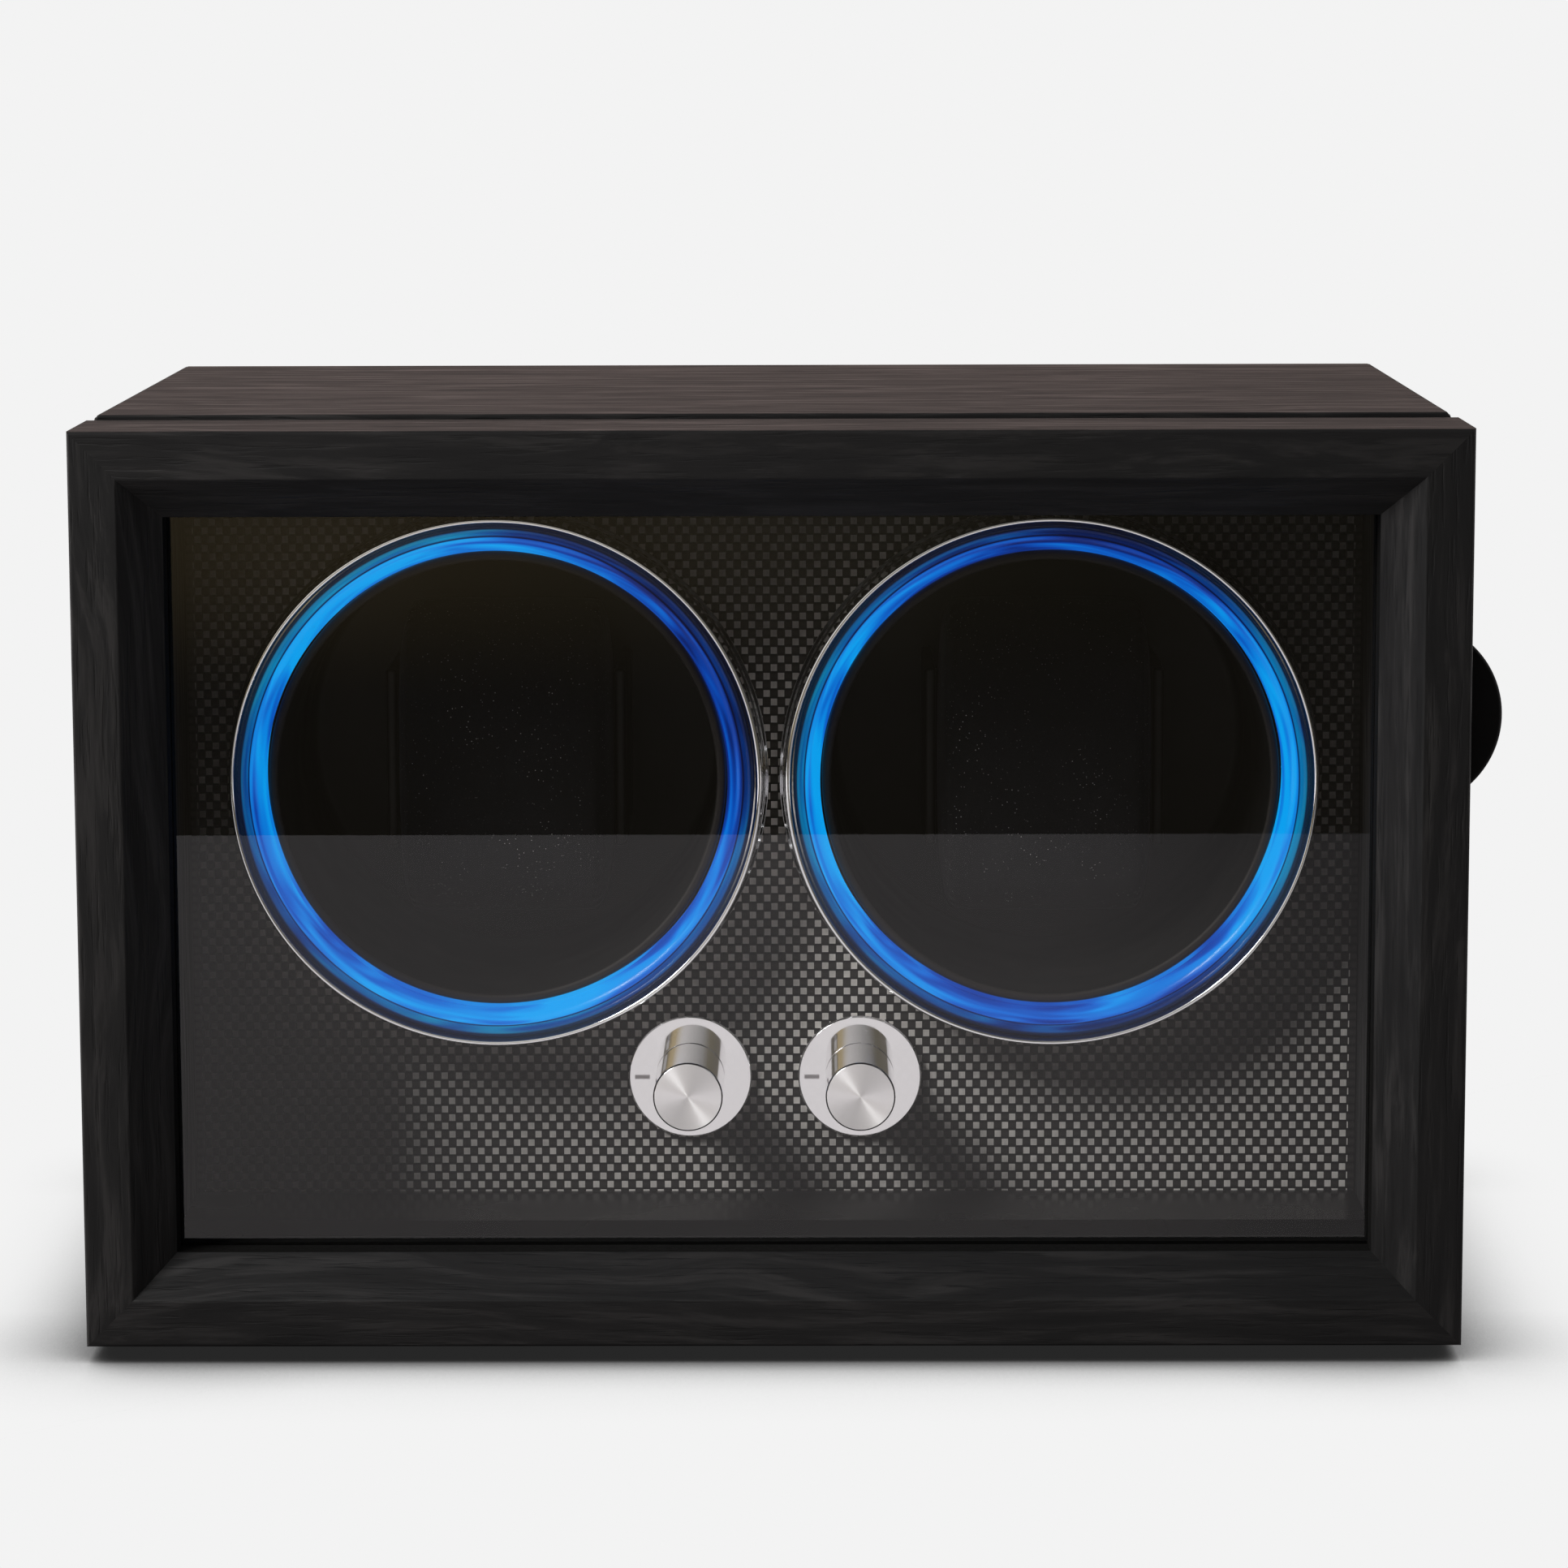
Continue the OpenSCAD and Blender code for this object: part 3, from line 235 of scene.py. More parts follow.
def light_backdrop():
    """White for the eye, dim for matt surfaces; gloss sees a room, bright at the left."""
    world = bpy.data.worlds.new("studio")
    scene.world = world
    build = Nodes(world)
    x, y, z = build.split(build.add("TexCoord").outputs["Generated"])
    behind = build.ramp(y, [(0.35, 0.0), (0.8, (0.88, 0.67, 0.62))])
    less_right = build.ramp(build.math("ADD", x, 0.5), [(0.36, 1.0), (0.63, 0.8)])
    behind = build.mix(1.0, behind, less_right, "MULTIPLY")
    overhead = build.ramp(z, [(0.5, 0.0), (0.95, 0.03)])
    leftward = build.ramp(build.math("MULTIPLY", x, -1.0), [(0.4, 0.0), (0.9, 2.6)])
    rightward = build.ramp(x, [(0.4, 0.0), (0.9, 1.2)])
    room = build.mix(1.0, build.mix(1.0, behind, overhead, "LIGHTEN"), leftward, "LIGHTEN")
    room = build.mix(1.0, build.mix(1.0, room, rightward, "LIGHTEN"), (0.02, 0.018, 0.017), "LIGHTEN")
    rays = build.add("LightPath")
    seen = build.mix(rays.outputs["Is Glossy Ray"], grey(MATT_LIGHT), room)
    seen = build.mix(rays.outputs["Is Camera Ray"], seen, grey(PAPER_WHITE))
    glow = build.add("Background")
    build.link(seen, glow.inputs["Color"])
    build.output(glow.outputs[0], "OutputWorld")


def lay_floor():
    """A plain pale floor with a soft shade under what stands on it."""
    shape = bmesh.new()
    bmesh.ops.create_grid(shape, x_segments=1, y_segments=1, size=FLOOR_SIZE)
    material = bpy.data.materials.new("floor paper")
    build = Nodes(material)
    near = build.add("AmbientOcclusion", samples=12)
    near.inputs["Distance"].default_value = SHADE_REACH
    level = build.ramp(near.outputs["AO"], [
        (0.3, 0.02), (0.5, 0.15), (0.62, 0.32), (0.75, 0.56), (0.9, 0.84), (1.0, PAPER_WHITE),
    ])
    x, y, _ = build.split(build.add("TexCoord").outputs["Object"])
    beside = build.ramp(build.math("MULTIPLY_ADD", y, 5.0, 0.5), [
        (0.125, 0.0), (0.3, 0.75), (0.75, 0.75), (0.9, 0.0),
    ])
    clear = build.ramp(build.math("ABSOLUTE", x), [(0.115, 0.0), (0.135, 1.0)])
    level = build.mix(build.math("MULTIPLY", beside, clear), level, grey(PAPER_WHITE))
    gloss = build.ramp(build.math("ADD", x, 0.5), [
        (0.0, (2.6, 2.45, 2.45)), (0.22, (1, 0.945, 0.95)), (0.3, (0.95, 0.90, 0.905)),
        (0.56, (0.92, 0.87, 0.875)), (0.64, (0.52, 0.49, 0.495)), (0.85, (0.34, 0.32, 0.32)),
        (1.0, (1.8, 1.7, 1.7)),
    ])
    rays = build.add("LightPath")
    share = build.mix(rays.outputs["Is Glossy Ray"], grey(FLOOR_BOUNCE), gloss)
    share = build.mix(rays.outputs["Is Camera Ray"], share, (1, 1, 1))
    glow = build.add("Emission")
    build.link(build.mix(1.0, level, share, "MULTIPLY"), glow.inputs["Color"])
    build.output(glow.outputs[0])
    floor = studio_surface(shape, "floor", material)


def hang_card():
    """A dark card past the table's end that only gloss sees, warmer near its top left."""
    shape = bmesh.new()
    bmesh.ops.create_grid(
        shape, x_segments=1, y_segments=1, size=1,
        matrix=Matrix.Translation((0, TABLE_END, 0.5)) @ Matrix.Rotation(math.pi / 2, 4, "X")
        @ Matrix.Diagonal((4, 0.5, 1, 1)),
    )
    material = bpy.data.materials.new("dark card")
    build = Nodes(material)
    x, _, z = build.split(build.add("TexCoord").outputs["Object"])
    across = build.math("ADD", x, 0.5)
    warm = build.ramp(across, [
        (0.38, (0.46, 0.36, 0.20)), (0.52, (0.26, 0.225, 0.15)), (0.62, (0.12, 0.105, 0.075)),
    ])
    rise = build.ramp(build.math("MULTIPLY", z, 10.0), [(0.35, 0.0), (0.85, 1.0)], "EASE")
    above = build.ramp(across, [
        (0.33, (0.85, 0.81, 0.79)), (0.5, (0.46, 0.44, 0.43)), (0.64, (0.10, 0.095, 0.09)),
    ])
    high = build.ramp(z, [(0.10, 0.0), (0.14, 1.0)])
    glow = build.add("Emission")
    build.link(build.mix(high, build.mix(rise, (0.13, 0.113, 0.088), warm), above), glow.inputs["Color"])
    build.output(glow.outputs[0])
    card = studio_surface(shape, "dark_card", material)
    card.visible_camera = False
    card.visible_diffuse = False
    card.visible_shadow = False
    card.visible_transmission = False


def hang_window():
    """One soft rectangle of light, high at the front left."""
    data = bpy.data.lights.new("window_light", "AREA")
    data.shape = "RECTANGLE"
    data.size, data.size_y = WINDOW_W, WINDOW_H
    data.energy = WINDOW_POWER
    lamp = bpy.data.objects.new("window_light", data)
    lamp.location = WINDOW_AT
    lamp.rotation_euler = (Vector(WINDOW_AIM) - Vector(WINDOW_AT)).to_track_quat("-Z", "Y").to_euler()
    lamp.visible_camera = False
    scene.collection.objects.link(lamp)


light_backdrop()
lay_floor()
hang_card()
hang_window()

# ---------- finishes ----------


def wavy_grain(build, along):
    """Long streaks along one axis: (fibres, pores, clouds), all 0 to 1."""
    stretch = {
        "x": (26, 430, 430),
        "z": (430, 430, 26),
        "y": (430, 26, 430),
    }[along]
    drift = build.noise(build.place(tuple(9 if s < 100 else 30 for s in stretch)), 1, detail=2)
    base = build.place(stretch)
    bend = build.add("VectorMath", operation="ADD")
    build.link(base, bend.inputs[0])
    shift = build.add("CombineXYZ")
    push = build.math("MULTIPLY", build.math("SUBTRACT", drift, 0.5), 9.0)
    for axis in range(3):
        if "xyz"[axis] != along:
            build.link(push, shift.inputs[axis])
    build.link(shift.outputs[0], bend.inputs[1])
    fibres = build.noise(bend.outputs[0], 1, detail=5, rough=0.62)
    finer = tuple(s * 3.4 if s > 100 else s * 4 for s in stretch)
    pores = build.noise(build.place(finer), 1, detail=2, rough=0.5)
    clouds = build.noise(build.place(tuple(s * 0.22 for s in stretch)), 1, detail=2)
    return fibres, pores, clouds


def ebony_veneer(name, along):
    """Black open-pored veneer, grain along one axis."""
    material, build, shader = surface(name)
    fibres, pores, clouds = wavy_grain(build, along)
    tone = build.ramp(fibres, [
        (0.36, (0.0010, 0.0009, 0.0010)), (0.5, (0.0043, 0.0041, 0.0041)), (0.64, (0.0240, 0.0226, 0.0222)),
    ])
    tone = build.mix(build.ramp(clouds, [(0.35, 0.0), (0.7, 0.35)]), tone, (0.0060, 0.0052, 0.0055))
    cut = build.ramp(pores, [(0.30, 0.0), (0.44, 1.0)])
    open_pore = build.math("MULTIPLY", build.math("SUBTRACT", 1.0, cut), 0.8)
    tone = build.mix(open_pore, tone, (0.0009, 0.0008, 0.0008))
    build.put(shader.inputs["Base Color"], tone)
    build.put(shader.inputs["Roughness"], build.ramp(fibres, [(0.34, 0.74), (0.68, 0.50)]))
    shader.inputs["Specular IOR Level"].default_value = 0.24
    height = build.math("ADD", build.math("MULTIPLY", fibres, 0.5), build.math("MULTIPLY", cut, 0.5))
    build.put(shader.inputs["Normal"], build.bump(height, 0.8, 0.00014))
    return material


def carbon_weave():
    """Plain weave film under a clear gloss: flat silvery tows over dark ones; the silver tows carry a painted
    highlight along their edges, and the dark ones a painted sheen along their middle and painted shade at
    their edges.
    """
    material, build, shader = surface("carbon_weave")
    cell_w, cell_h = 1.262 * MM, 1.502 * MM
    across, _, up = build.split(build.place((1 / cell_w, 0, 1 / cell_h), shift=(0.5, 0.5, 0.5)))
    column, row = build.math("FLOOR", across), build.math("FLOOR", up)
    odd = build.math("MODULO", build.math("ADD", build.math("ADD", column, row), 2000.0), 2.0)
    over = build.math("LESS_THAN", odd, 0.5)
    u = build.math("ABSOLUTE", build.math("SUBTRACT", build.math("FRACT", across), 0.5))
    v = build.math("ABSOLUTE", build.math("SUBTRACT", build.math("FRACT", up), 0.5))
    inside_u = build.ramp(u, [(0.415, 1.0), (0.45, 0.0)])
    inside_v = build.ramp(v, [(0.365, 1.0), (0.41, 0.0)])
    inside = build.math("MULTIPLY", inside_u, inside_v)
    off_middle = build.math("ABSOLUTE", build.math("SUBTRACT", across, 0.5))
    film = build.math("LESS_THAN", off_middle, FILM_HALF_W * MM / cell_w)
    inside = build.math("MULTIPLY", inside, film)
    warp = build.math("MULTIPLY", over, inside)
    # a painted highlight along the borders of each silver tow: rim mixes the silver paler there
    edge_highlight_u = build.ramp(u, [(0.30, 0.0), (0.42, 1.0)])
    edge_highlight_v = build.ramp(v, [(0.26, 0.0), (0.37, 1.0)])
    rim = build.math("MAXIMUM", edge_highlight_u, edge_highlight_v)
    threads = build.noise(build.place((16000, 1, 700)), 1, detail=2)
    patch = build.noise(build.place((420, 1, 420)), 1, detail=1)
    wear = build.math("MULTIPLY_ADD", threads, 0.55, build.math("MULTIPLY", patch, 0.45))
    silver = build.ramp(wear, [(0.3, (0.44, 0.412, 0.39)), (0.72, (0.84, 0.785, 0.74))])
    silver = build.mix(build.math("MULTIPLY", rim, 0.35), silver, (0.92, 0.86, 0.81))
    # dark tows: lighter along their middle and darkest at their edges, a painted sheen and painted shade
    weft_sheen_and_shade = build.ramp(v, [
        (0.0, (0.028, 0.0245, 0.0230)), (0.3, (0.018, 0.0158, 0.0148)), (0.5, (0.003, 0.0027, 0.0025)),
    ])
    build.put(shader.inputs["Base Color"], build.mix(warp, weft_sheen_and_shade, silver))
    shader.inputs["Roughness"].default_value = 0.5
    shader.inputs["Specular IOR Level"].default_value = 0.14
    height = build.math("MULTIPLY", inside, build.math("MULTIPLY_ADD", over, 0.6, 0.25))
    build.put(shader.inputs["Normal"], build.bump(height, 0.35, 0.0001))
    return material


def smooth_black(name, tone=(0.006, 0.0055, 0.006), rough=0.4, grain=0.08, pitch=1400, gloss=0.5):
    """Moulded or laminated black with a faint skin texture."""
    material, build, shader = surface(name, Base_Color=tone)
    skin = build.noise(build.place(), pitch, detail=2)
    build.put(shader.inputs["Roughness"], build.ramp(skin, [(0.3, rough - 0.06), (0.7, rough + 0.08)]))
    build.put(shader.inputs["Normal"], build.bump(skin, grain, 0.00008))
    shader.inputs["Specular IOR Level"].default_value = gloss
    return material


def polished_chrome():
    """Bright chrome with faint wiping marks."""
    material, build, shader = surface("polished_chrome", Base_Color=(0.82, 0.82, 0.83), Metallic=1.0)
    wipes = build.noise(build.place((1, 1, 4)), 260, detail=3)
    build.put(shader.inputs["Roughness"], build.ramp(wipes, [(0.35, 0.035), (0.7, 0.09)]))
    return material


def plated(name, tone=(0.5, 0.51, 0.52), rough=0.3):
    """Satin metal in a given tone."""
    material, build, shader = surface(name, Base_Color=tone, Metallic=1.0)
    marks = build.noise(build.place((1, 1, 3)), 900, detail=3)
    build.put(shader.inputs["Roughness"], build.ramp(marks, [(0.3, rough - 0.07), (0.7, rough + 0.1)]))
    build.put(shader.inputs["Normal"], build.bump(marks, 0.06, 0.00005))
    return material


def clear_glass():
    """Thin glass: what is behind it shows, and gloss by the angle."""
    material = bpy.data.materials.new("clear_glass")
    build = Nodes(material)
    through = build.add("BsdfTransparent")
    through.inputs["Color"].default_value = (0.97, 0.975, 0.975, 1)
    gloss = build.add("BsdfGlossy")
    gloss.inputs["Roughness"].default_value = 0.0
    angle = build.add("Fresnel")
    angle.inputs["IOR"].default_value = 1.51
    outside = build.math("SUBTRACT", 1.0, build.add("NewGeometry").outputs["Backfacing"])
    mix = build.add("MixShader")
    build.link(build.math("MULTIPLY", angle.outputs[0], outside), mix.inputs[0])
    build.link(through.outputs[0], mix.inputs[1])
    build.link(gloss.outputs[0], mix.inputs[2])
    build.output(mix.outputs[0])
    return material


def round_centre(build, centre):
    """From a line along Y, in mm: (which way, as a unit vector; how far)."""
    flat = build.add("VectorMath", operation="MULTIPLY")
    build.link(build.in_mm(centre), flat.inputs[0])
    flat.inputs[1].default_value = (1, 0, 1)
    unit = build.add("VectorMath", operation="NORMALIZE")
    build.link(flat.outputs[0], unit.inputs[0])
    reach = build.add("VectorMath", operation="LENGTH")
    build.link(flat.outputs[0], reach.inputs[0])
    return unit.outputs[0], reach.outputs["Value"]


def spun_knob(name, centre):
    """Polished sides; the cap is turned, so its gloss fans out from the centre."""
    material, build, shader = surface(name, Base_Color=(0.80, 0.79, 0.79), Metallic=1.0, Anisotropic=0.9)
    outward, radius = round_centre(build, centre)
    world = build.add("VectorTransform", vector_type="VECTOR", convert_from="OBJECT", convert_to="WORLD")
    build.link(outward, world.inputs[0])
    build.link(world.outputs[0], shader.inputs["Tangent"])
    turned = build.math("LESS_THAN", radius, KNOB_CAP_R)
    _, depth, _ = build.split(build.in_mm())
    cap = build.math("MULTIPLY", turned, build.math("LESS_THAN", depth, KNOB_CAP_Y))
    rings = build.noise(build.scalar_vector(radius), 26, detail=3, rough=0.7)
    brushed = build.math("MULTIPLY", cap, build.math("MULTIPLY_ADD", rings, 0.10, 0.22))
    build.put(shader.inputs["Roughness"], build.math("ADD", 0.05, brushed))
    face = build.ramp(rings, [(0.3, (0.90, 0.885, 0.89)), (0.7, (0.99, 0.975, 0.98))])
    build.put(shader.inputs["Base Color"], build.mix(cap, (0.82, 0.81, 0.81), face))
    return material


def marked_chrome(name, centre):
    """Polished flange with a fine engraved line at nine o'clock."""
    material, build, shader = surface(name, Metallic=1.0)
    x, _, z = build.split(build.in_mm(centre))
    along = build.ramp(build.math("MULTIPLY", x, -0.1), [(0.70, 0.0), (0.72, 1.0), (0.96, 1.0), (0.98, 0.0)])
    across = build.ramp(build.math("ABSOLUTE", z), [(0.22, 1.0), (0.50, 0.0)])
    line = build.math("MULTIPLY", along, across)
    build.put(shader.inputs["Base Color"], build.mix(line, (0.84, 0.83, 0.84), (0.36, 0.34, 0.35)))
    wipes = build.noise(build.place((1, 1, 3)), 300, detail=3)
    polish = build.ramp(wipes, [(0.35, 0.02), (0.7, 0.06)])
    build.put(shader.inputs["Roughness"], build.math("ADD", polish, build.math("MULTIPLY", line, 0.4)))
    return material


def cup_moulding():
    """Satin black moulding; the open rim is painted a little paler, a painted sheen where its edge catches
    the light.
    """
    material, build, shader = surface("cup_moulding")
    _, depth, _ = build.split(build.in_mm())
    # rim: the cup's front band, painted paler as a sheen
    rim = build.ramp(build.math("MULTIPLY_ADD", depth, 0.1, 4.0), [(0.85, 1.0), (0.93, 0.0)])
    skin = build.noise(build.place(), 90, detail=2)
    tone = build.mix(rim, (0.0042, 0.0038, 0.0032), (0.022, 0.018, 0.015))
    build.put(shader.inputs["Base Color"], tone)
    satin = build.ramp(skin, [(0.3, 0.52), (0.7, 0.58)])
    build.put(shader.inputs["Roughness"], build.math("ADD", satin, build.math("MULTIPLY", rim, 0.05)))
    build.put(shader.inputs["Normal"], build.bump(skin, 0.02, 0.00003))
    shader.inputs["Specular IOR Level"].default_value = 0.2
    return material


def black_suede():
    """Short black nap with glints where fibres catch the light."""
    material, build, shader = surface("black_suede")
    nap = build.noise(build.place(), 2500, detail=3, rough=0.6)
    brushed = build.noise(build.place((1, 1, 0.6)), 90, detail=3, warp=0.8)
    stroked = build.ramp(brushed, [(0.35, 0.0), (0.7, 1.0)])
    tone = build.mix(stroked, (0.0034, 0.0031, 0.0034), (0.0110, 0.0100, 0.0108))
    tone = build.mix(build.ramp(nap, [(0.35, 0.0), (0.7, 0.6)]), tone, (0.0008, 0.0008, 0.0008))
    glint_cells = build.add("TexVoronoi", feature="F1")
    build.link(build.place(), glint_cells.inputs["Vector"])
    glint_cells.inputs["Scale"].default_value = 3600
    lot, _, _ = build.split(glint_cells.outputs["Color"])
    near = build.ramp(glint_cells.outputs["Distance"], [(0.18, 1.0), (0.34, 0.0)])
    glints = build.math("MULTIPLY", build.math("GREATER_THAN", lot, 0.94), near)
    drifts = build.ramp(build.noise(build.place(), 130, detail=1), [(0.42, 0.15), (0.62, 1.0)])
    glints = build.math("MULTIPLY", glints, drifts)
    build.put(shader.inputs["Base Color"], build.mix(glints, tone, (0.46, 0.44, 0.43)))
    build.put(shader.inputs["Metallic"], build.math("MULTIPLY", glints, 0.8))
    build.put(shader.inputs["Roughness"], build.math("MULTIPLY_ADD", glints, -0.55, 0.92))
    shader.inputs["Sheen Weight"].default_value = 0.2
    shader.inputs["Specular IOR Level"].default_value = 0.2
    shader.inputs["Sheen Roughness"].default_value = 0.45
    shader.inputs["Sheen Tint"].default_value = (0.25, 0.24, 0.26, 1)
    height = build.math("MULTIPLY_ADD", nap, 0.7, build.math("MULTIPLY", brushed, 0.5))
    build.put(shader.inputs["Normal"], build.bump(height, 0.08, 0.00008))
    return material


def raw_wood():
    """Pale unfinished wood, grain upright."""
    material, build, shader = surface("raw_wood", Roughness=0.75)
    fibres, _, clouds = wavy_grain(build, "z")
    tone = build.ramp(fibres, [
        (0.3, (0.22, 0.13, 0.065)), (0.6, (0.36, 0.23, 0.12)), (0.75, (0.42, 0.29, 0.165)),
    ])
    tone = build.mix(build.math("MULTIPLY", clouds, 0.3), tone, (0.18, 0.10, 0.05))
    build.put(shader.inputs["Base Color"], tone)
    build.put(shader.inputs["Normal"], build.bump(fibres, 0.3, 0.0001))
    return material


def circuit_board():
    """Green mask over square-cornered tracks, with pale pads."""
    material, build, shader = surface("circuit_board", Roughness=0.38)
    cells = build.add("TexVoronoi", feature="F1", distance="MANHATTAN")
    build.link(build.place((1, 0.3, 1)), cells.inputs["Vector"])
    cells.inputs["Scale"].default_value = 420
    cells.inputs["Randomness"].default_value = 0.35
    tracks = build.ramp(cells.outputs["Distance"], [(0.30, 0.0), (0.34, 1.0), (0.46, 1.0), (0.5, 0.0)])
    pads = build.ramp(cells.outputs["Distance"], [(0.10, 1.0), (0.13, 0.0)])
    tone = build.mix(tracks, (0.006, 0.055, 0.024), (0.014, 0.105, 0.045))
    build.put(shader.inputs["Base Color"], build.mix(pads, tone, (0.62, 0.60, 0.52)))
    build.put(shader.inputs["Metallic"], build.math("MULTIPLY", pads, 0.8))
    build.put(shader.inputs["Normal"], build.bump(build.math("ADD", tracks, pads), 0.25, 0.00004))
    return material


def acetal():
    """Ivory gear plastic that lets a little light in."""
    material, build, shader = surface("acetal", Roughness=0.42)
    skin = build.noise(build.place(), 500, detail=3)
    tone = build.ramp(skin, [(0.3, (0.70, 0.67, 0.58)), (0.7, (0.78, 0.75, 0.66))])
    build.put(shader.inputs["Base Color"], tone)
    build.put(shader.inputs["Normal"], build.bump(skin, 0.05, 0.00006))
    shader.inputs["Subsurface Weight"].default_value = 0.1
    shader.inputs["Subsurface Radius"].default_value = (0.001, 0.0008, 0.0006)
    return material


FINISH = {
    "ebony_across": ebony_veneer("ebony_across", "x"),
    "ebony_upright": ebony_veneer("ebony_upright", "z"),
    "carbon_weave": carbon_weave(),
    "black_laminate": smooth_black("black_laminate", (0.0024, 0.0021, 0.0022), 0.26, 0.0, 40, gloss=0.18),
    "black_rebate": smooth_black("black_rebate", (0.0030, 0.0028, 0.0024), 0.85, 0.1, gloss=0.1),
    "black_moulding": smooth_black("black_moulding"),
    "rubber": smooth_black("rubber", (0.008, 0.008, 0.008), 0.75, 0.2),
    "polished_chrome": polished_chrome(),
    "plated_steel": plated("plated_steel"),
    "clear_glass": clear_glass(),
    "cup_moulding": cup_moulding(),
    "pull_lacquer": smooth_black("pull_lacquer", (0.0040, 0.0037, 0.0040), 0.5, 0.03, gloss=0.1),
    "black_suede": black_suede(),
    "steel_screw": plated("steel_screw", (0.42, 0.43, 0.45), 0.32),
    "sintered_bronze": plated("sintered_bronze", (0.55, 0.36, 0.16), 0.45),
    "gilt_pin": plated("gilt_pin", (0.80, 0.62, 0.30), 0.2),
    "black_hinge": smooth_black("black_hinge", (0.012, 0.012, 0.0125), 0.3, 0.06),
    "grey_button": smooth_black("grey_button", (0.06, 0.06, 0.064), 0.42, 0.06),
    "raw_wood": raw_wood(),
    "circuit_board": circuit_board(),
    "acetal": acetal(),
}
for side, way in SIDES.items():
    FINISH["spun_knob_" + side] = spun_knob("spun_knob_" + side, (way * KNOB_X, KNOB_Z))
    FINISH["marked_chrome_" + side] = marked_chrome("marked_chrome_" + side, (way * KNOB_X, KNOB_Z))


def dress(name, *node_names):
    """Gives CAD shapes one of the finishes."""
    for node_name in node_names:
        mesh = nodes[node_name].data
        mesh.materials.clear()
        mesh.materials.append(FINISH[name])


def both(*names):
    """The left and the right of each name."""
    return [name + side for name in names for side in ("_left", "_right")]


dress("carbon_weave", "fascia_panel")
dress("black_laminate", "compartment_floor", "back_panel")
dress("black_rebate", "glazing_beads")
dress("clear_glass", "door_glass")
dress("raw_wood", "fascia_battens")
dress("rubber", "rubber_feet")
dress("black_moulding", "drum_backs", "power_socket", "light_switch_body",
      *both("drum_housing", "rotary_switch"))
dress("circuit_board", "control_board", *both("led_board"))
dress("plated_steel", "hinge_pins", "catch_plates", "catch_magnets",
      *both("motor_plate", "gearmotor", "cup_axle", "knob_spindle"))
dress("steel_screw", "back_screws", "drive_screws")
dress("sintered_bronze", "axle_bushes")
dress("gilt_pin", "socket_pin")
dress("black_hinge", "case_hinge_leaves", "door_hinge_leaves")
dress("acetal", *both("cup_gear", "motor_pinion"))
dress("grey_button", "light_button")

# ---------- making pieces ----------


def finish_piece(shape, name, finish, body, replaced=(), sharp=32.0):
    """Turns a bmesh into a named piece that rides on a body."""
    bmesh.ops.recalc_face_normals(shape, faces=shape.faces)
    for face in shape.faces:
        face.smooth = True
    for edge in shape.edges:
        edge.smooth = len(edge.link_faces) == 2 and edge.calc_face_angle() < math.radians(sharp)
    mesh = bpy.data.meshes.new(name)
    shape.to_mesh(mesh)
    shape.free()
    piece = bpy.data.objects.new(name, mesh)
    scene.collection.objects.link(piece)
    mesh.materials.append(FINISH[finish])
    if sharp < 45:
        piece.modifiers.new("true flats", "WEIGHTED_NORMAL").keep_sharp = True
    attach(piece, body)
    if replaced:
        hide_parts(*replaced)
    return piece


def spin_profile(shape, profile, centre, steps=160, closed=True):
    """Turns (radius, y) points, in mm, about a line along Y through centre (x, z)."""
    points = [shape.verts.new(((centre[0] + r) * MM, y * MM, centre[1] * MM)) for r, y in profile]
    pairs = list(zip(points, points[1:])) + ([(points[-1], points[0])] if closed else [])
    edges = [shape.edges.new(pair) for pair in pairs]
    bmesh.ops.spin(
        shape, geom=points + edges, cent=(centre[0] * MM, 0, centre[1] * MM), axis=(0, 1, 0),
        angle=math.tau, steps=steps, use_merge=True, use_duplicate=False,
    )
    bmesh.ops.remove_doubles(shape, verts=shape.verts, dist=1e-6)


def eased(points, corners, steps=3):
    """Rounds chosen corners of a profile: corners maps an index to a radius."""
    out = []
    for i, point in enumerate(points):
        radius = corners.get(i, 0)
        if not radius:
            out.append(point)
            continue
        here = Vector(point)
        before = (Vector(points[i - 1]) - here).normalized()
        after = (Vector(points[(i + 1) % len(points)]) - here).normalized()
        half = before.angle(after) / 2
        reach = radius / math.tan(half)
        start, end = here + before * reach, here + after * reach
        middle = here + (before + after).normalized() * radius / math.sin(half)
        first, last = (start - middle).normalized(), (end - middle).normalized()
        for step in range(steps + 1):
            out.append(tuple(middle + first.slerp(last, step / steps) * radius))
    return out


def block(shape, low, high, ease=0.0, segments=2):
    """A box between two corners in mm, its edges rounded by ease."""
    middle = [(a + b) / 2 for a, b in zip(low, high)]
    size = [b - a for a, b in zip(low, high)]
    made = bmesh.ops.create_cube(
        shape, size=1,
        matrix=Matrix.Translation(Vector(middle) * MM) @ Matrix.Diagonal((*(v * MM for v in size), 1)),
    )["verts"]
    if ease:
        edges = list({edge for vert in made for edge in vert.link_edges})
        bmesh.ops.bevel(
            shape, geom=edges, offset=ease * MM, segments=segments, profile=0.5, affect="EDGES", material=-1,
        )


def rod(shape, start, end, radius, segments=48):
    """A round bar from one point to another, in mm."""
    start, end = Vector(start), Vector(end)
    along = end - start
    turn = along.to_track_quat("Z", "Y").to_matrix().to_4x4()
    bmesh.ops.create_cone(
        shape, cap_ends=True, segments=segments,
        radius1=radius * MM, radius2=radius * MM, depth=along.length * MM,
        matrix=Matrix.Translation((start + end) / 2 * MM) @ turn,
    )


def bisected(shape, at, facing):
    """Cuts off what lies past a plane and closes the opening."""
    cut = bmesh.ops.bisect_plane(
        shape, geom=shape.verts[:] + shape.edges[:] + shape.faces[:], dist=1e-7,
        plane_co=at, plane_no=facing, clear_outer=True,
    )["geom_cut"]
    bmesh.ops.contextual_create(shape, geom=[e for e in cut if isinstance(e, bmesh.types.BMEdge)])


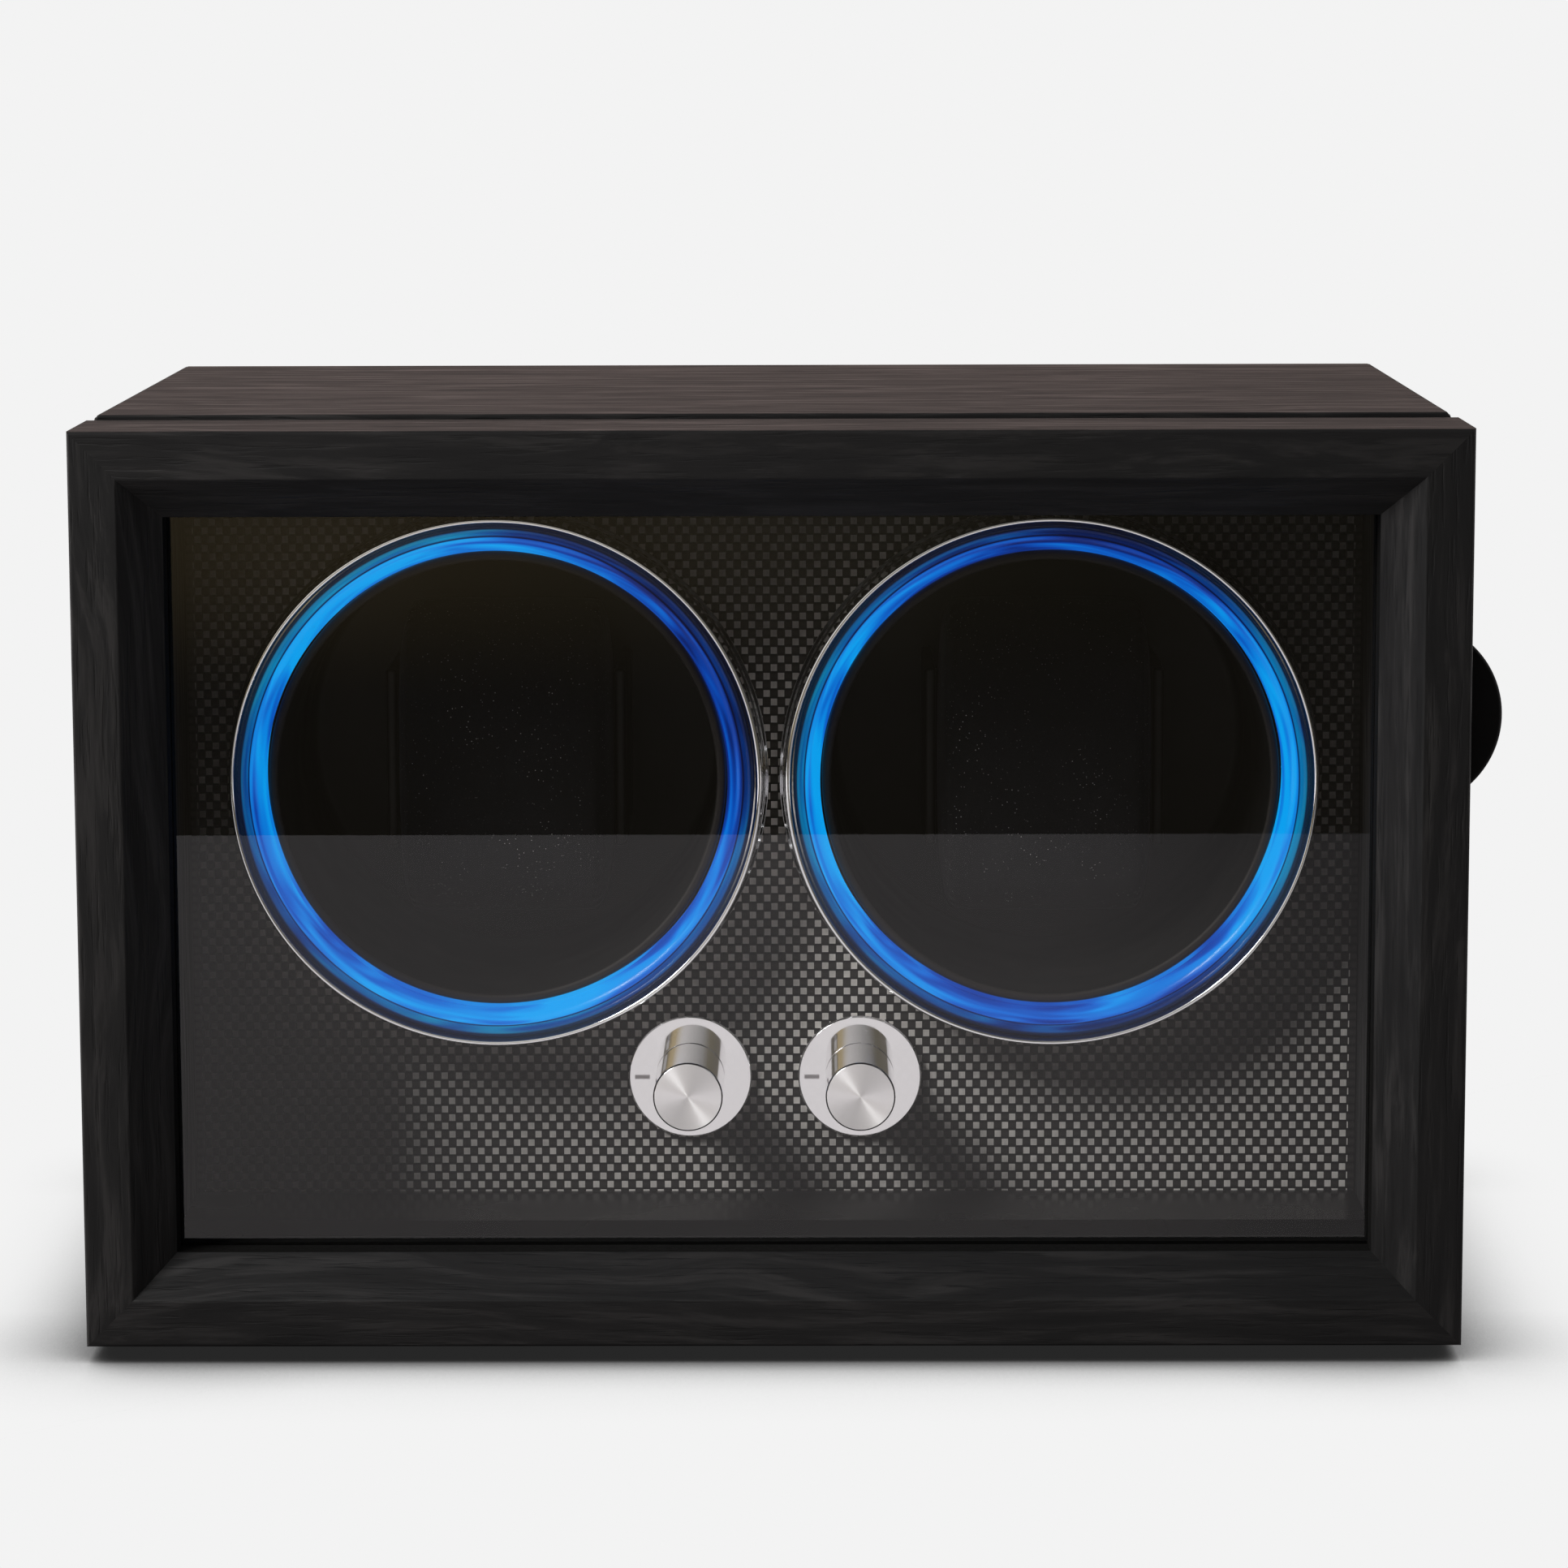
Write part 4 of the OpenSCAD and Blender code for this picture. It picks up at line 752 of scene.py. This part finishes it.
def cut_away(shape, tool):
    """Takes the tool's closed shapes out of the first shape."""
    parts = []
    for part in (shape, tool):
        bmesh.ops.recalc_face_normals(part, faces=part.faces)
        mesh = bpy.data.meshes.new("cut")
        part.to_mesh(mesh)
        part.free()
        parts.append(bpy.data.objects.new("cut", mesh))
        scene.collection.objects.link(parts[-1])
    boolean = parts[0].modifiers.new("cut", "BOOLEAN")
    boolean.solver = "EXACT"
    boolean.use_self = True
    boolean.object = parts[1]
    result = bmesh.new()
    result.from_object(parts[0], bpy.context.evaluated_depsgraph_get())
    for part in parts:
        mesh = part.data
        bpy.data.objects.remove(part)
        bpy.data.meshes.remove(mesh)
    return result


# ---------- door frame ----------


def frame_piece(side):
    """One mitred piece of the door frame, its long edges eased."""
    upright = side in ("left", "right")
    half_across = DOOR_HALF_W if upright else DOOR_HALF_H
    half_along = DOOR_HALF_H if upright else DOOR_HALF_W
    section = [
        (0, DOOR_FRONT), (BAND, DOOR_FRONT), (FRAME_W, BEVEL_BACK), (FRAME_W, GLASS_FRONT),
        (FRAME_W - GLASS_REBATE, GLASS_FRONT), (FRAME_W - GLASS_REBATE, DOOR_BACK), (0, DOOR_BACK),
    ]
    section = eased(section, {0: 0.7, 1: 0.5, 2: 0.35, 3: 0.2, 5: 0.3, 6: 0.9})
    shape = bmesh.new()
    verts = [shape.verts.new(((t - half_across) * MM, y * MM, -half_along * MM)) for t, y in section]
    face = shape.faces.new(verts)
    grown = bmesh.ops.extrude_face_region(shape, geom=[face])["geom"]
    far_end = [v for v in grown if isinstance(v, bmesh.types.BMVert)]
    bmesh.ops.translate(shape, vec=(0, 0, 2 * half_along * MM), verts=far_end)
    for end in (-1, 1):
        bisected(shape, (-half_across * MM, 0, end * half_along * MM), Vector((1, 0, end)).normalized())
    if side == "right":
        bmesh.ops.scale(shape, vec=(-1, 1, 1), verts=shape.verts)
    elif not upright:
        quarter = math.pi / 2 if side == "top" else -math.pi / 2
        bmesh.ops.rotate(shape, cent=(0, 0, 0), matrix=Matrix.Rotation(quarter, 3, "Y"), verts=shape.verts)
    bmesh.ops.translate(shape, vec=(0, 0, MID_Z * MM), verts=shape.verts)
    return shape


def hinge_recesses():
    """What the left stile loses to the hinge leaves and knuckles."""
    tool = bmesh.new()
    for low in HINGE_ZS:
        block(tool, (-DOOR_HALF_W - 3, HINGE_Y - LEAF_W - SLACK, low - 0.1),
              (-DOOR_HALF_W + LEAF_T + SLACK, CUT_BACK, low + HINGE_H + 0.1))
        rod(tool, (HINGE_X, HINGE_Y, low - 1), (HINGE_X, HINGE_Y, low + HINGE_H + 1), KNUCKLE_R + 2 * SLACK)
    return tool


def stile_holes():
    """What the right stile loses to the magnets and the pull's pegs."""
    tool = bmesh.new()
    for z in MAGNET_ZS:
        rod(tool, (MAGNET_X, MAGNET_FRONT - SLACK, z), (MAGNET_X, CUT_BACK, z), MAGNET_R + SLACK)
    for z in PEG_ZS:
        rod(tool, (DOOR_HALF_W - 5.1, PULL_Y, z), (DOOR_HALF_W + 2, PULL_Y, z), PEG_R + SLACK)
    return tool


RAILS = {
    "top": "door_top_rail", "bottom": "door_bottom_rail",
    "left": "door_left_stile", "right": "door_right_stile",
}
for side, node_name in RAILS.items():
    shape = frame_piece(side)
    if side == "left":
        shape = cut_away(shape, hinge_recesses())
    elif side == "right":
        shape = cut_away(shape, stile_holes())
    veneer = "ebony_across" if side in ("top", "bottom") else "ebony_upright"
    rail = finish_piece(shape, node_name + "_wood", veneer, "door", (node_name,), sharp=28)
    rail.data.materials.append(FINISH["black_rebate"])
    for face in rail.data.polygons:
        in_window = (BEVEL_BACK - 0.05) * MM < face.center.y < (DOOR_BACK - 1) * MM
        outward = face.center.x * face.normal.x + (face.center.z - MID_Z * MM) * face.normal.z
        if in_window and outward < -0.01:
            face.material_index = 1

# ---------- lit mouths ----------


def bezel_profile():
    """Spigot, flange and tapered lip of a bezel, as (radius, y)."""
    return eased([
        (44.3, FASCIA_BACK), (45.2, FASCIA_BACK), (45.2, FASCIA_FRONT), (47.0, FASCIA_FRONT),
        (47.0, FASCIA_FRONT - 1.2), (46.3, FASCIA_FRONT - 1.7), (45.9, RIM), (45.1, RIM),
        (44.8, RIM + 1.2), (44.8, FASCIA_FRONT - 1), (44.3, FASCIA_FRONT - 1),
    ], {4: 0.35, 5: 0.5, 6: 0.36, 7: 0.36, 8: 0.5}, steps=4)


def ring_profile():
    """The lit ring: a hollow inner tier and a bead outside it, as (radius, y)."""
    front = RIM + 1.0
    return [
        (40.5, FASCIA_FRONT + 2), (40.5, front + 5.0), (39.95, front + 4.3), (39.9, front + 3.6),
        (40.15, front + 2.7), (40.6, front + 1.9), (41.2, front + 1.2), (41.8, front + 0.75),
        (42.3, front + 0.55), (42.6, front + 0.6), (42.75, front + 0.8), (42.8, front + 1.25),
        (43.0, front + 1.3), (43.1, front + 0.75), (43.25, front + 0.35), (43.55, front + 0.1),
        (43.95, front), (44.3, front + 0.15), (44.5, front + 0.5), (44.55, front + 1.0),
        (44.55, FASCIA_FRONT - 1), (44.2, FASCIA_FRONT - 1), (44.2, FASCIA_FRONT + 2),
    ]


LIT_LEVEL = 0.58


def lit_blue(name, centre_x, double, double_at, single, single_at):
    """Blue light guide that glows, brightest twice round at double_at and once at single_at, in degrees, and
    streaked: these swings are a painted reflection; its glow is dark in the groove between the tiers and past
    the bead, a painted shade.
    """
    material, build, shader = surface(name, Base_Color=(0.0, 0.012, 0.06), Roughness=0.18)
    outward, radius = round_centre(build, (centre_x, MOUTH_Z))
    c, _, s = build.split(outward)
    cos2 = build.math("MULTIPLY_ADD", build.math("MULTIPLY", c, c), 2.0, -1.0)
    sin2 = build.math("MULTIPLY", build.math("MULTIPLY", c, s), 2.0)
    twice_at, once_at = math.radians(2 * double_at), math.radians(single_at)
    # the glow really lights the ring, but these swings round the circle and the streaks below are a painted
    # reflection
    level = build.math("MULTIPLY_ADD", cos2, double * math.cos(twice_at), LIT_LEVEL)
    for wave, share in (
        (sin2, double * math.sin(twice_at)), (c, single * math.cos(once_at)), (s, single * math.sin(once_at)),
    ):
        level = build.math("ADD", level, build.math("MULTIPLY", wave, share))
    warped = build.add("CombineXYZ")
    build.put(warped.inputs[0], build.math("MULTIPLY", c, 1.5))
    build.put(warped.inputs[2], build.math("MULTIPLY", s, 1.5))
    build.put(warped.inputs[1], build.math("MULTIPLY", radius, 0.5))
    streaks = build.noise(warped.outputs[0], 1.3, detail=1.0, rough=0.4, warp=0.9)
    level = build.math("ADD", level, build.math("MULTIPLY", build.math("SUBTRACT", streaks, 0.5), 1.5))
    blue = build.ramp(level, [
        (0.0, (0.0, 0.014, 0.15)), (0.26, (0.0, 0.050, 0.38)), (0.5, (0.0, 0.12, 0.60)),
        (0.76, (0.0, 0.24, 0.78)), (1.0, (0.0, 0.37, 0.90)),
    ])
    # painted shade: the glow is made dark in the groove between the tiers and past the bead; the bead between
    # is tinted cyan
    outer = build.ramp(build.math("MULTIPLY_ADD", radius, 0.4, -16.8), [
        (0.17, (1, 1, 1)), (0.22, (0.03, 0.06, 0.10)), (0.28, (0.03, 0.06, 0.10)),
        (0.33, (0.0, 0.62, 0.50)), (0.70, (0.0, 0.46, 0.38)), (0.80, (0.0, 0.03, 0.03)),
    ])
    blue = build.mix(1.0, blue, outer, "MULTIPLY")
    build.put(shader.inputs["Emission Color"], blue)
    shader.inputs["Emission Strength"].default_value = 1.0
    shader.inputs["Specular IOR Level"].default_value = 0.15
    FINISH[name] = material


lit_blue("lit_blue_left", -MOUTH_X, 0.25, 115, 0.25, 200)
lit_blue("lit_blue_right", MOUTH_X, 0.3, 0, 0.1, 270)

for side, way in SIDES.items():
    centre = (way * MOUTH_X, MOUTH_Z)
    shape = bmesh.new()
    spin_profile(shape, bezel_profile(), centre, 192)
    finish_piece(shape, "bezel_%s_chrome" % side, "polished_chrome", "case",
                 ("bezel_" + side,))
    shape = bmesh.new()
    spin_profile(shape, ring_profile(), centre, 192)
    finish_piece(shape, "ring_%s_lit" % side, "lit_blue_" + side, "case",
                 ("light_ring_" + side,), sharp=60)

# ---------- case ----------


def cad_copy(node_name):
    """A merged copy of a CAD shape, its flat faces made whole."""
    shape = bmesh.new()
    shape.from_mesh(nodes[node_name].data)
    bmesh.ops.remove_doubles(shape, verts=shape.verts, dist=2e-6)
    bmesh.ops.dissolve_limit(shape, angle_limit=math.radians(0.5), verts=shape.verts, edges=shape.edges)
    return shape


def on_case_rim(vert):
    """Whether a corner of a board lies on the case's front or back outline."""
    x, y, z = vert.co / MM
    outer = max(abs(x) / CASE_HALF_W, abs(z - MID_Z) / CASE_HALF_H) > 0.985
    return outer and min(abs(y - CASE_FRONT), abs(y - CASE_BACK)) < 0.01


for side in ("top", "bottom", "left_side", "right_side"):
    board = cad_copy("case_" + side)
    rim = [edge for edge in board.edges if all(on_case_rim(v) for v in edge.verts)
           and len(edge.link_faces) == 2 and edge.calc_face_angle() > math.radians(60)]
    bmesh.ops.bevel(board, geom=rim, offset=0.45 * MM, segments=3, profile=0.5, affect="EDGES", material=-1)
    veneer = "ebony_upright" if "side" in side else "ebony_across"
    finish_piece(board, "case_%s_board" % side, veneer, "case", ("case_" + side,), sharp=28)

# ---------- knobs ----------

KNOB_FRONT, KNOB_BACK, KNOB_R = -45.5, -28.3, 6.0
INDEX_ANGLE, INDEX_W, INDEX_D = 134.0, 0.8, 0.35


def knob_profile():
    """Cap, neck and bore of a mode knob, as (radius, y)."""
    return eased([
        (0, KNOB_FRONT), (KNOB_R - 0.25, KNOB_FRONT), (KNOB_R, KNOB_FRONT + 0.25), (KNOB_R, KNOB_BACK),
        (4.3, KNOB_BACK), (4.3, KNOB_BACK - 1.5), (3.02, KNOB_BACK - 1.5), (3.02, KNOB_BACK - 10),
        (0, KNOB_BACK - 10),
    ], {1: 0.1, 2: 0.1, 3: 0.3}, steps=3)


def flange_profile():
    """The flat flange under a knob, as (radius, y)."""
    return eased([
        (4.05, FASCIA_FRONT - 1.5), (10.55, FASCIA_FRONT - 1.5), (10.8, FASCIA_FRONT - 1.2),
        (10.8, FASCIA_FRONT), (4.05, FASCIA_FRONT),
    ], {1: 0.14, 2: 0.12}, steps=3)


for side, way in SIDES.items():
    centre = (way * KNOB_X, KNOB_Z)
    shape = bmesh.new()
    spin_profile(shape, knob_profile(), centre, 128, closed=False)
    groove = bmesh.new()
    block(groove, (KNOB_R - INDEX_D, KNOB_FRONT + 1.6, -INDEX_W / 2),
          (KNOB_R + 1, KNOB_BACK - 2, INDEX_W / 2))
    to_index = Matrix.Rotation(-math.radians(INDEX_ANGLE), 3, "Y")
    bmesh.ops.rotate(groove, cent=(0, 0, 0), matrix=to_index, verts=groove.verts)
    bmesh.ops.translate(groove, vec=(centre[0] * MM, 0, centre[1] * MM), verts=groove.verts)
    finish_piece(cut_away(shape, groove), "knob_%s_turned" % side, "spun_knob_" + side, "mode_knob_" + side,
                 ("knob_" + side,))
    shape = bmesh.new()
    spin_profile(shape, flange_profile(), centre, 128)
    finish_piece(shape, "knob_flange_%s_turned" % side, "marked_chrome_" + side, "case",
                 ("knob_flange_" + side,))

# ---------- cups ----------

CUP_R, CUP_OUT_R, AXLE_R = 38.0, 39.6, 3.02
# Either side of the pillow: (inside, outside, reach forward, sunk, half height, edge, edge steps)
CHEEK = (19.3, 21.3, 33, 0.5, 16, 0.7, 3)
CHEEK_FOOT = (15.8, 19.8, 5.7, 0.3, 12, 0.4, 2)


def cup_profile():
    """Cup with its axle recess and boss, as (radius, y)."""
    return eased([
        (AXLE_R, CUP_FLOOR + 2.4), (5.2, CUP_FLOOR + 2.4), (5.2, CUP_FLOOR), (CUP_R, CUP_FLOOR),
        (CUP_R, CUP_RIM), (CUP_OUT_R, CUP_RIM), (CUP_OUT_R, CUP_FLOOR + 2), (7, CUP_FLOOR + 2),
        (7, CUP_FLOOR + 4.5), (AXLE_R, CUP_FLOOR + 4.5),
    ], {3: 2.0, 4: 0.55, 5: 0.7, 6: 0.6}, steps=5)


for side, way in SIDES.items():
    shape = bmesh.new()
    spin_profile(shape, cup_profile(), (way * MOUTH_X, MOUTH_Z), 160)
    for hand in (-1, 1):
        for inside, outside, forward, sunk, half_h, ease, steps in (CHEEK, CHEEK_FOOT):
            low_x, high_x = sorted((hand * inside, hand * outside))
            block(shape, (way * MOUTH_X + low_x, CUP_FLOOR - forward, MOUTH_Z - half_h),
                  (way * MOUTH_X + high_x, CUP_FLOOR + sunk, MOUTH_Z + half_h), ease, steps)
    finish_piece(shape, "cup_%s_shell" % side, "cup_moulding", "cup_unit_" + side,
                 ("cup_" + side,))

# ---------- pillows ----------

PILLOW_W, PILLOW_T, PILLOW_H, PILLOW_FRONT = 38.0, 42.0, 58.0, -20.5
SIM_SCALE = 10
SIM_STEPS = 15
GIVE = 2.4


def pillow_blank():
    """The stuffed shape before it swells, centred on the origin, enlarged."""
    shape = bmesh.new()
    bmesh.ops.create_cube(
        shape, size=1, matrix=Matrix.Diagonal((PILLOW_W - 2.4, PILLOW_T - 3.4, PILLOW_H - 3.4, 1)),
    )
    along_x = [e for e in shape.edges if abs((e.verts[0].co - e.verts[1].co).normalized().x) > 0.9]
    bmesh.ops.bevel(shape, geom=along_x, offset=14.5, segments=10, profile=0.5, affect="EDGES", material=-1)
    ends = [f for f in shape.faces if abs(f.normal.x) > 0.9]
    rims = list({e for f in ends for e in f.edges})
    bmesh.ops.bevel(shape, geom=rims, offset=1.0, segments=3, profile=0.5, affect="EDGES", material=-1)
    bmesh.ops.scale(shape, vec=Vector((1, 1, 1)) * MM * SIM_SCALE, verts=shape.verts)
    return shape


def seam_nearness(point):
    """How far a point on the blank, in mm, is from the sewn edge of either end, along X."""
    return abs(abs(point.x) / (MM * SIM_SCALE) - (PILLOW_W / 2 - 1.2))


def from_middle(point):
    """How far out a point on the blank lies, in mm, past the flat part of its end."""
    y, z = abs(point.y) / (MM * SIM_SCALE), abs(point.z) / (MM * SIM_SCALE)
    return math.hypot(max(y - 5, 0), max(z - 13, 0))


def stuffed_pillow():
    """Swells the cover once, its sewn edges held; both pillows are copies of it."""
    shape = pillow_blank()
    mesh = bpy.data.meshes.new("pillow_blank")
    shape.to_mesh(mesh)
    shape.free()
    blank = bpy.data.objects.new("pillow_blank", mesh)
    scene.collection.objects.link(blank)
    remesh = blank.modifiers.new("remesh", "REMESH")
    remesh.mode = "VOXEL"
    remesh.voxel_size = 1.5 * MM * SIM_SCALE
    skin = bpy.data.meshes.new_from_object(blank.evaluated_get(bpy.context.evaluated_depsgraph_get()))
    blank.modifiers.clear()
    blank.data = skin
    start = [v.co.copy() for v in skin.vertices]
    seams = blank.vertex_groups.new(name="seams")
    for v in skin.vertices:
        on_edge = seam_nearness(v.co) < 0.9 and from_middle(v.co) > 13
        seams.add([v.index], 1.0 if on_edge else 0.0, "REPLACE")
    cloth = blank.modifiers.new("cloth", "CLOTH")
    cloth.settings.quality = 6
    cloth.settings.mass = 0.3
    cloth.settings.tension_stiffness = 12
    cloth.settings.compression_stiffness = 12
    cloth.settings.bending_stiffness = 0.6
    cloth.settings.use_pressure = True
    cloth.settings.uniform_pressure_force = 4
    cloth.settings.effector_weights.gravity = 0
    cloth.settings.vertex_group_mass = "seams"
    cloth.collision_settings.use_collision = False
    for frame_number in range(1, SIM_STEPS + 1):
        scene.frame_set(frame_number)
    swollen = blank.evaluated_get(bpy.context.evaluated_depsgraph_get()).to_mesh()
    ends = [v.co.copy() for v in swollen.vertices]
    blank.evaluated_get(bpy.context.evaluated_depsgraph_get()).to_mesh_clear()
    blank.modifiers.clear()
    scene.frame_set(1)
    limit = GIVE * MM * SIM_SCALE
    for v, before, after in zip(skin.vertices, start, ends):
        move = after - before
        if move.length > limit:
            move *= limit / move.length
        v.co = before + move
    result = bmesh.new()
    result.from_mesh(skin)
    bpy.data.objects.remove(blank)
    bpy.data.meshes.remove(skin)
    bpy.data.meshes.remove(mesh)
    for v in result.verts:
        near = max(0.0, 1 - seam_nearness(v.co) / 1.1) if from_middle(v.co) > 12 else 0.0
        v.co *= 1 - 0.022 * near
    half = Vector((PILLOW_W / 2, PILLOW_T / 2, PILLOW_H / 2)) * MM * SIM_SCALE
    for v in result.verts:
        for axis in range(3):
            v.co[axis] = max(-half[axis], min(half[axis], v.co[axis]))
    bmesh.ops.smooth_vert(
        result, verts=result.verts, factor=0.25, use_axis_x=True, use_axis_y=True, use_axis_z=True,
    )
    bmesh.ops.scale(result, vec=Vector((1, 1, 1)) / SIM_SCALE, verts=result.verts)
    return result


stuffed = stuffed_pillow()
for side, way in SIDES.items():
    shape = stuffed.copy()
    if way < 0:
        bmesh.ops.scale(shape, vec=(-1, 1, 1), verts=shape.verts)
    seat = Vector((way * MOUTH_X, PILLOW_FRONT + PILLOW_T / 2, MOUTH_Z)) * MM
    bmesh.ops.translate(shape, vec=seat, verts=shape.verts)
    pillow = finish_piece(shape, "pillow_%s_cover" % side, "black_suede", "pillow_" + side,
                          ("watch_pillow_" + side,), sharp=180)
    smooth = pillow.modifiers.new("smooth", "SUBSURF")
    smooth.levels = smooth.render_levels = 1
stuffed.free()

# ---------- pull ----------

shape = bmesh.new()
pull_centre = DOOR_HALF_W + PULL_OUT - PULL_R
spin_profile(shape, eased([
    (0, PULL_Y - PULL_T / 2), (PULL_R, PULL_Y - PULL_T / 2),
    (PULL_R, PULL_Y + PULL_T / 2), (0, PULL_Y + PULL_T / 2),
], {1: 0.8, 2: 0.8}, steps=4), (pull_centre, PULL_Z), 144, closed=False)
bisected(shape, (DOOR_HALF_W * MM, 0, 0), (-1, 0, 0))
for z in PEG_ZS:
    rod(shape, (DOOR_HALF_W - 5, PULL_Y, z), (DOOR_HALF_W + 0.5, PULL_Y, z), PEG_R, 24)
finish_piece(shape, "door_pull_turned", "pull_lacquer", "door", ("door_pull",))

# ---------- hinge screws ----------


def leaf_screws(hinge_low, at_y, body, name, out_x):
    """Three countersunk cross-head screws flush with a hinge leaf."""
    shape, slots = bmesh.new(), bmesh.new()
    for share in (1 / 6, 1 / 2, 5 / 6):
        z = hinge_low + share * HINGE_H
        bmesh.ops.create_cone(
            shape, cap_ends=True, segments=32, radius1=1.25 * MM, radius2=2.12 * MM, depth=0.95 * MM,
            matrix=Matrix.Translation(Vector((out_x + 0.52, at_y, z)) * MM)
            @ Matrix.Rotation(-math.pi / 2, 4, "Y"),
        )
        for turn in (0, 90):
            bmesh.ops.create_cube(
                slots, size=1, matrix=Matrix.Translation(Vector((out_x, at_y, z)) * MM)
                @ Matrix.Rotation(math.radians(turn + 20 + share * 70), 4, "X")
                @ Matrix.Diagonal((0.9 * MM, 2.4 * MM, 0.5 * MM, 1)),
            )
    finish_piece(cut_away(shape, slots), name, "steel_screw", body, ())


for number, low in enumerate(HINGE_ZS, 1):
    leaf_screws(low, HINGE_Y - LEAF_W / 2 - 1, "door", "door_leaf_screws_%d" % number, -DOOR_HALF_W)
    leaf_screws(low, HINGE_Y + LEAF_W / 2 + 1, "case", "case_leaf_screws_%d" % number, -CASE_HALF_W)
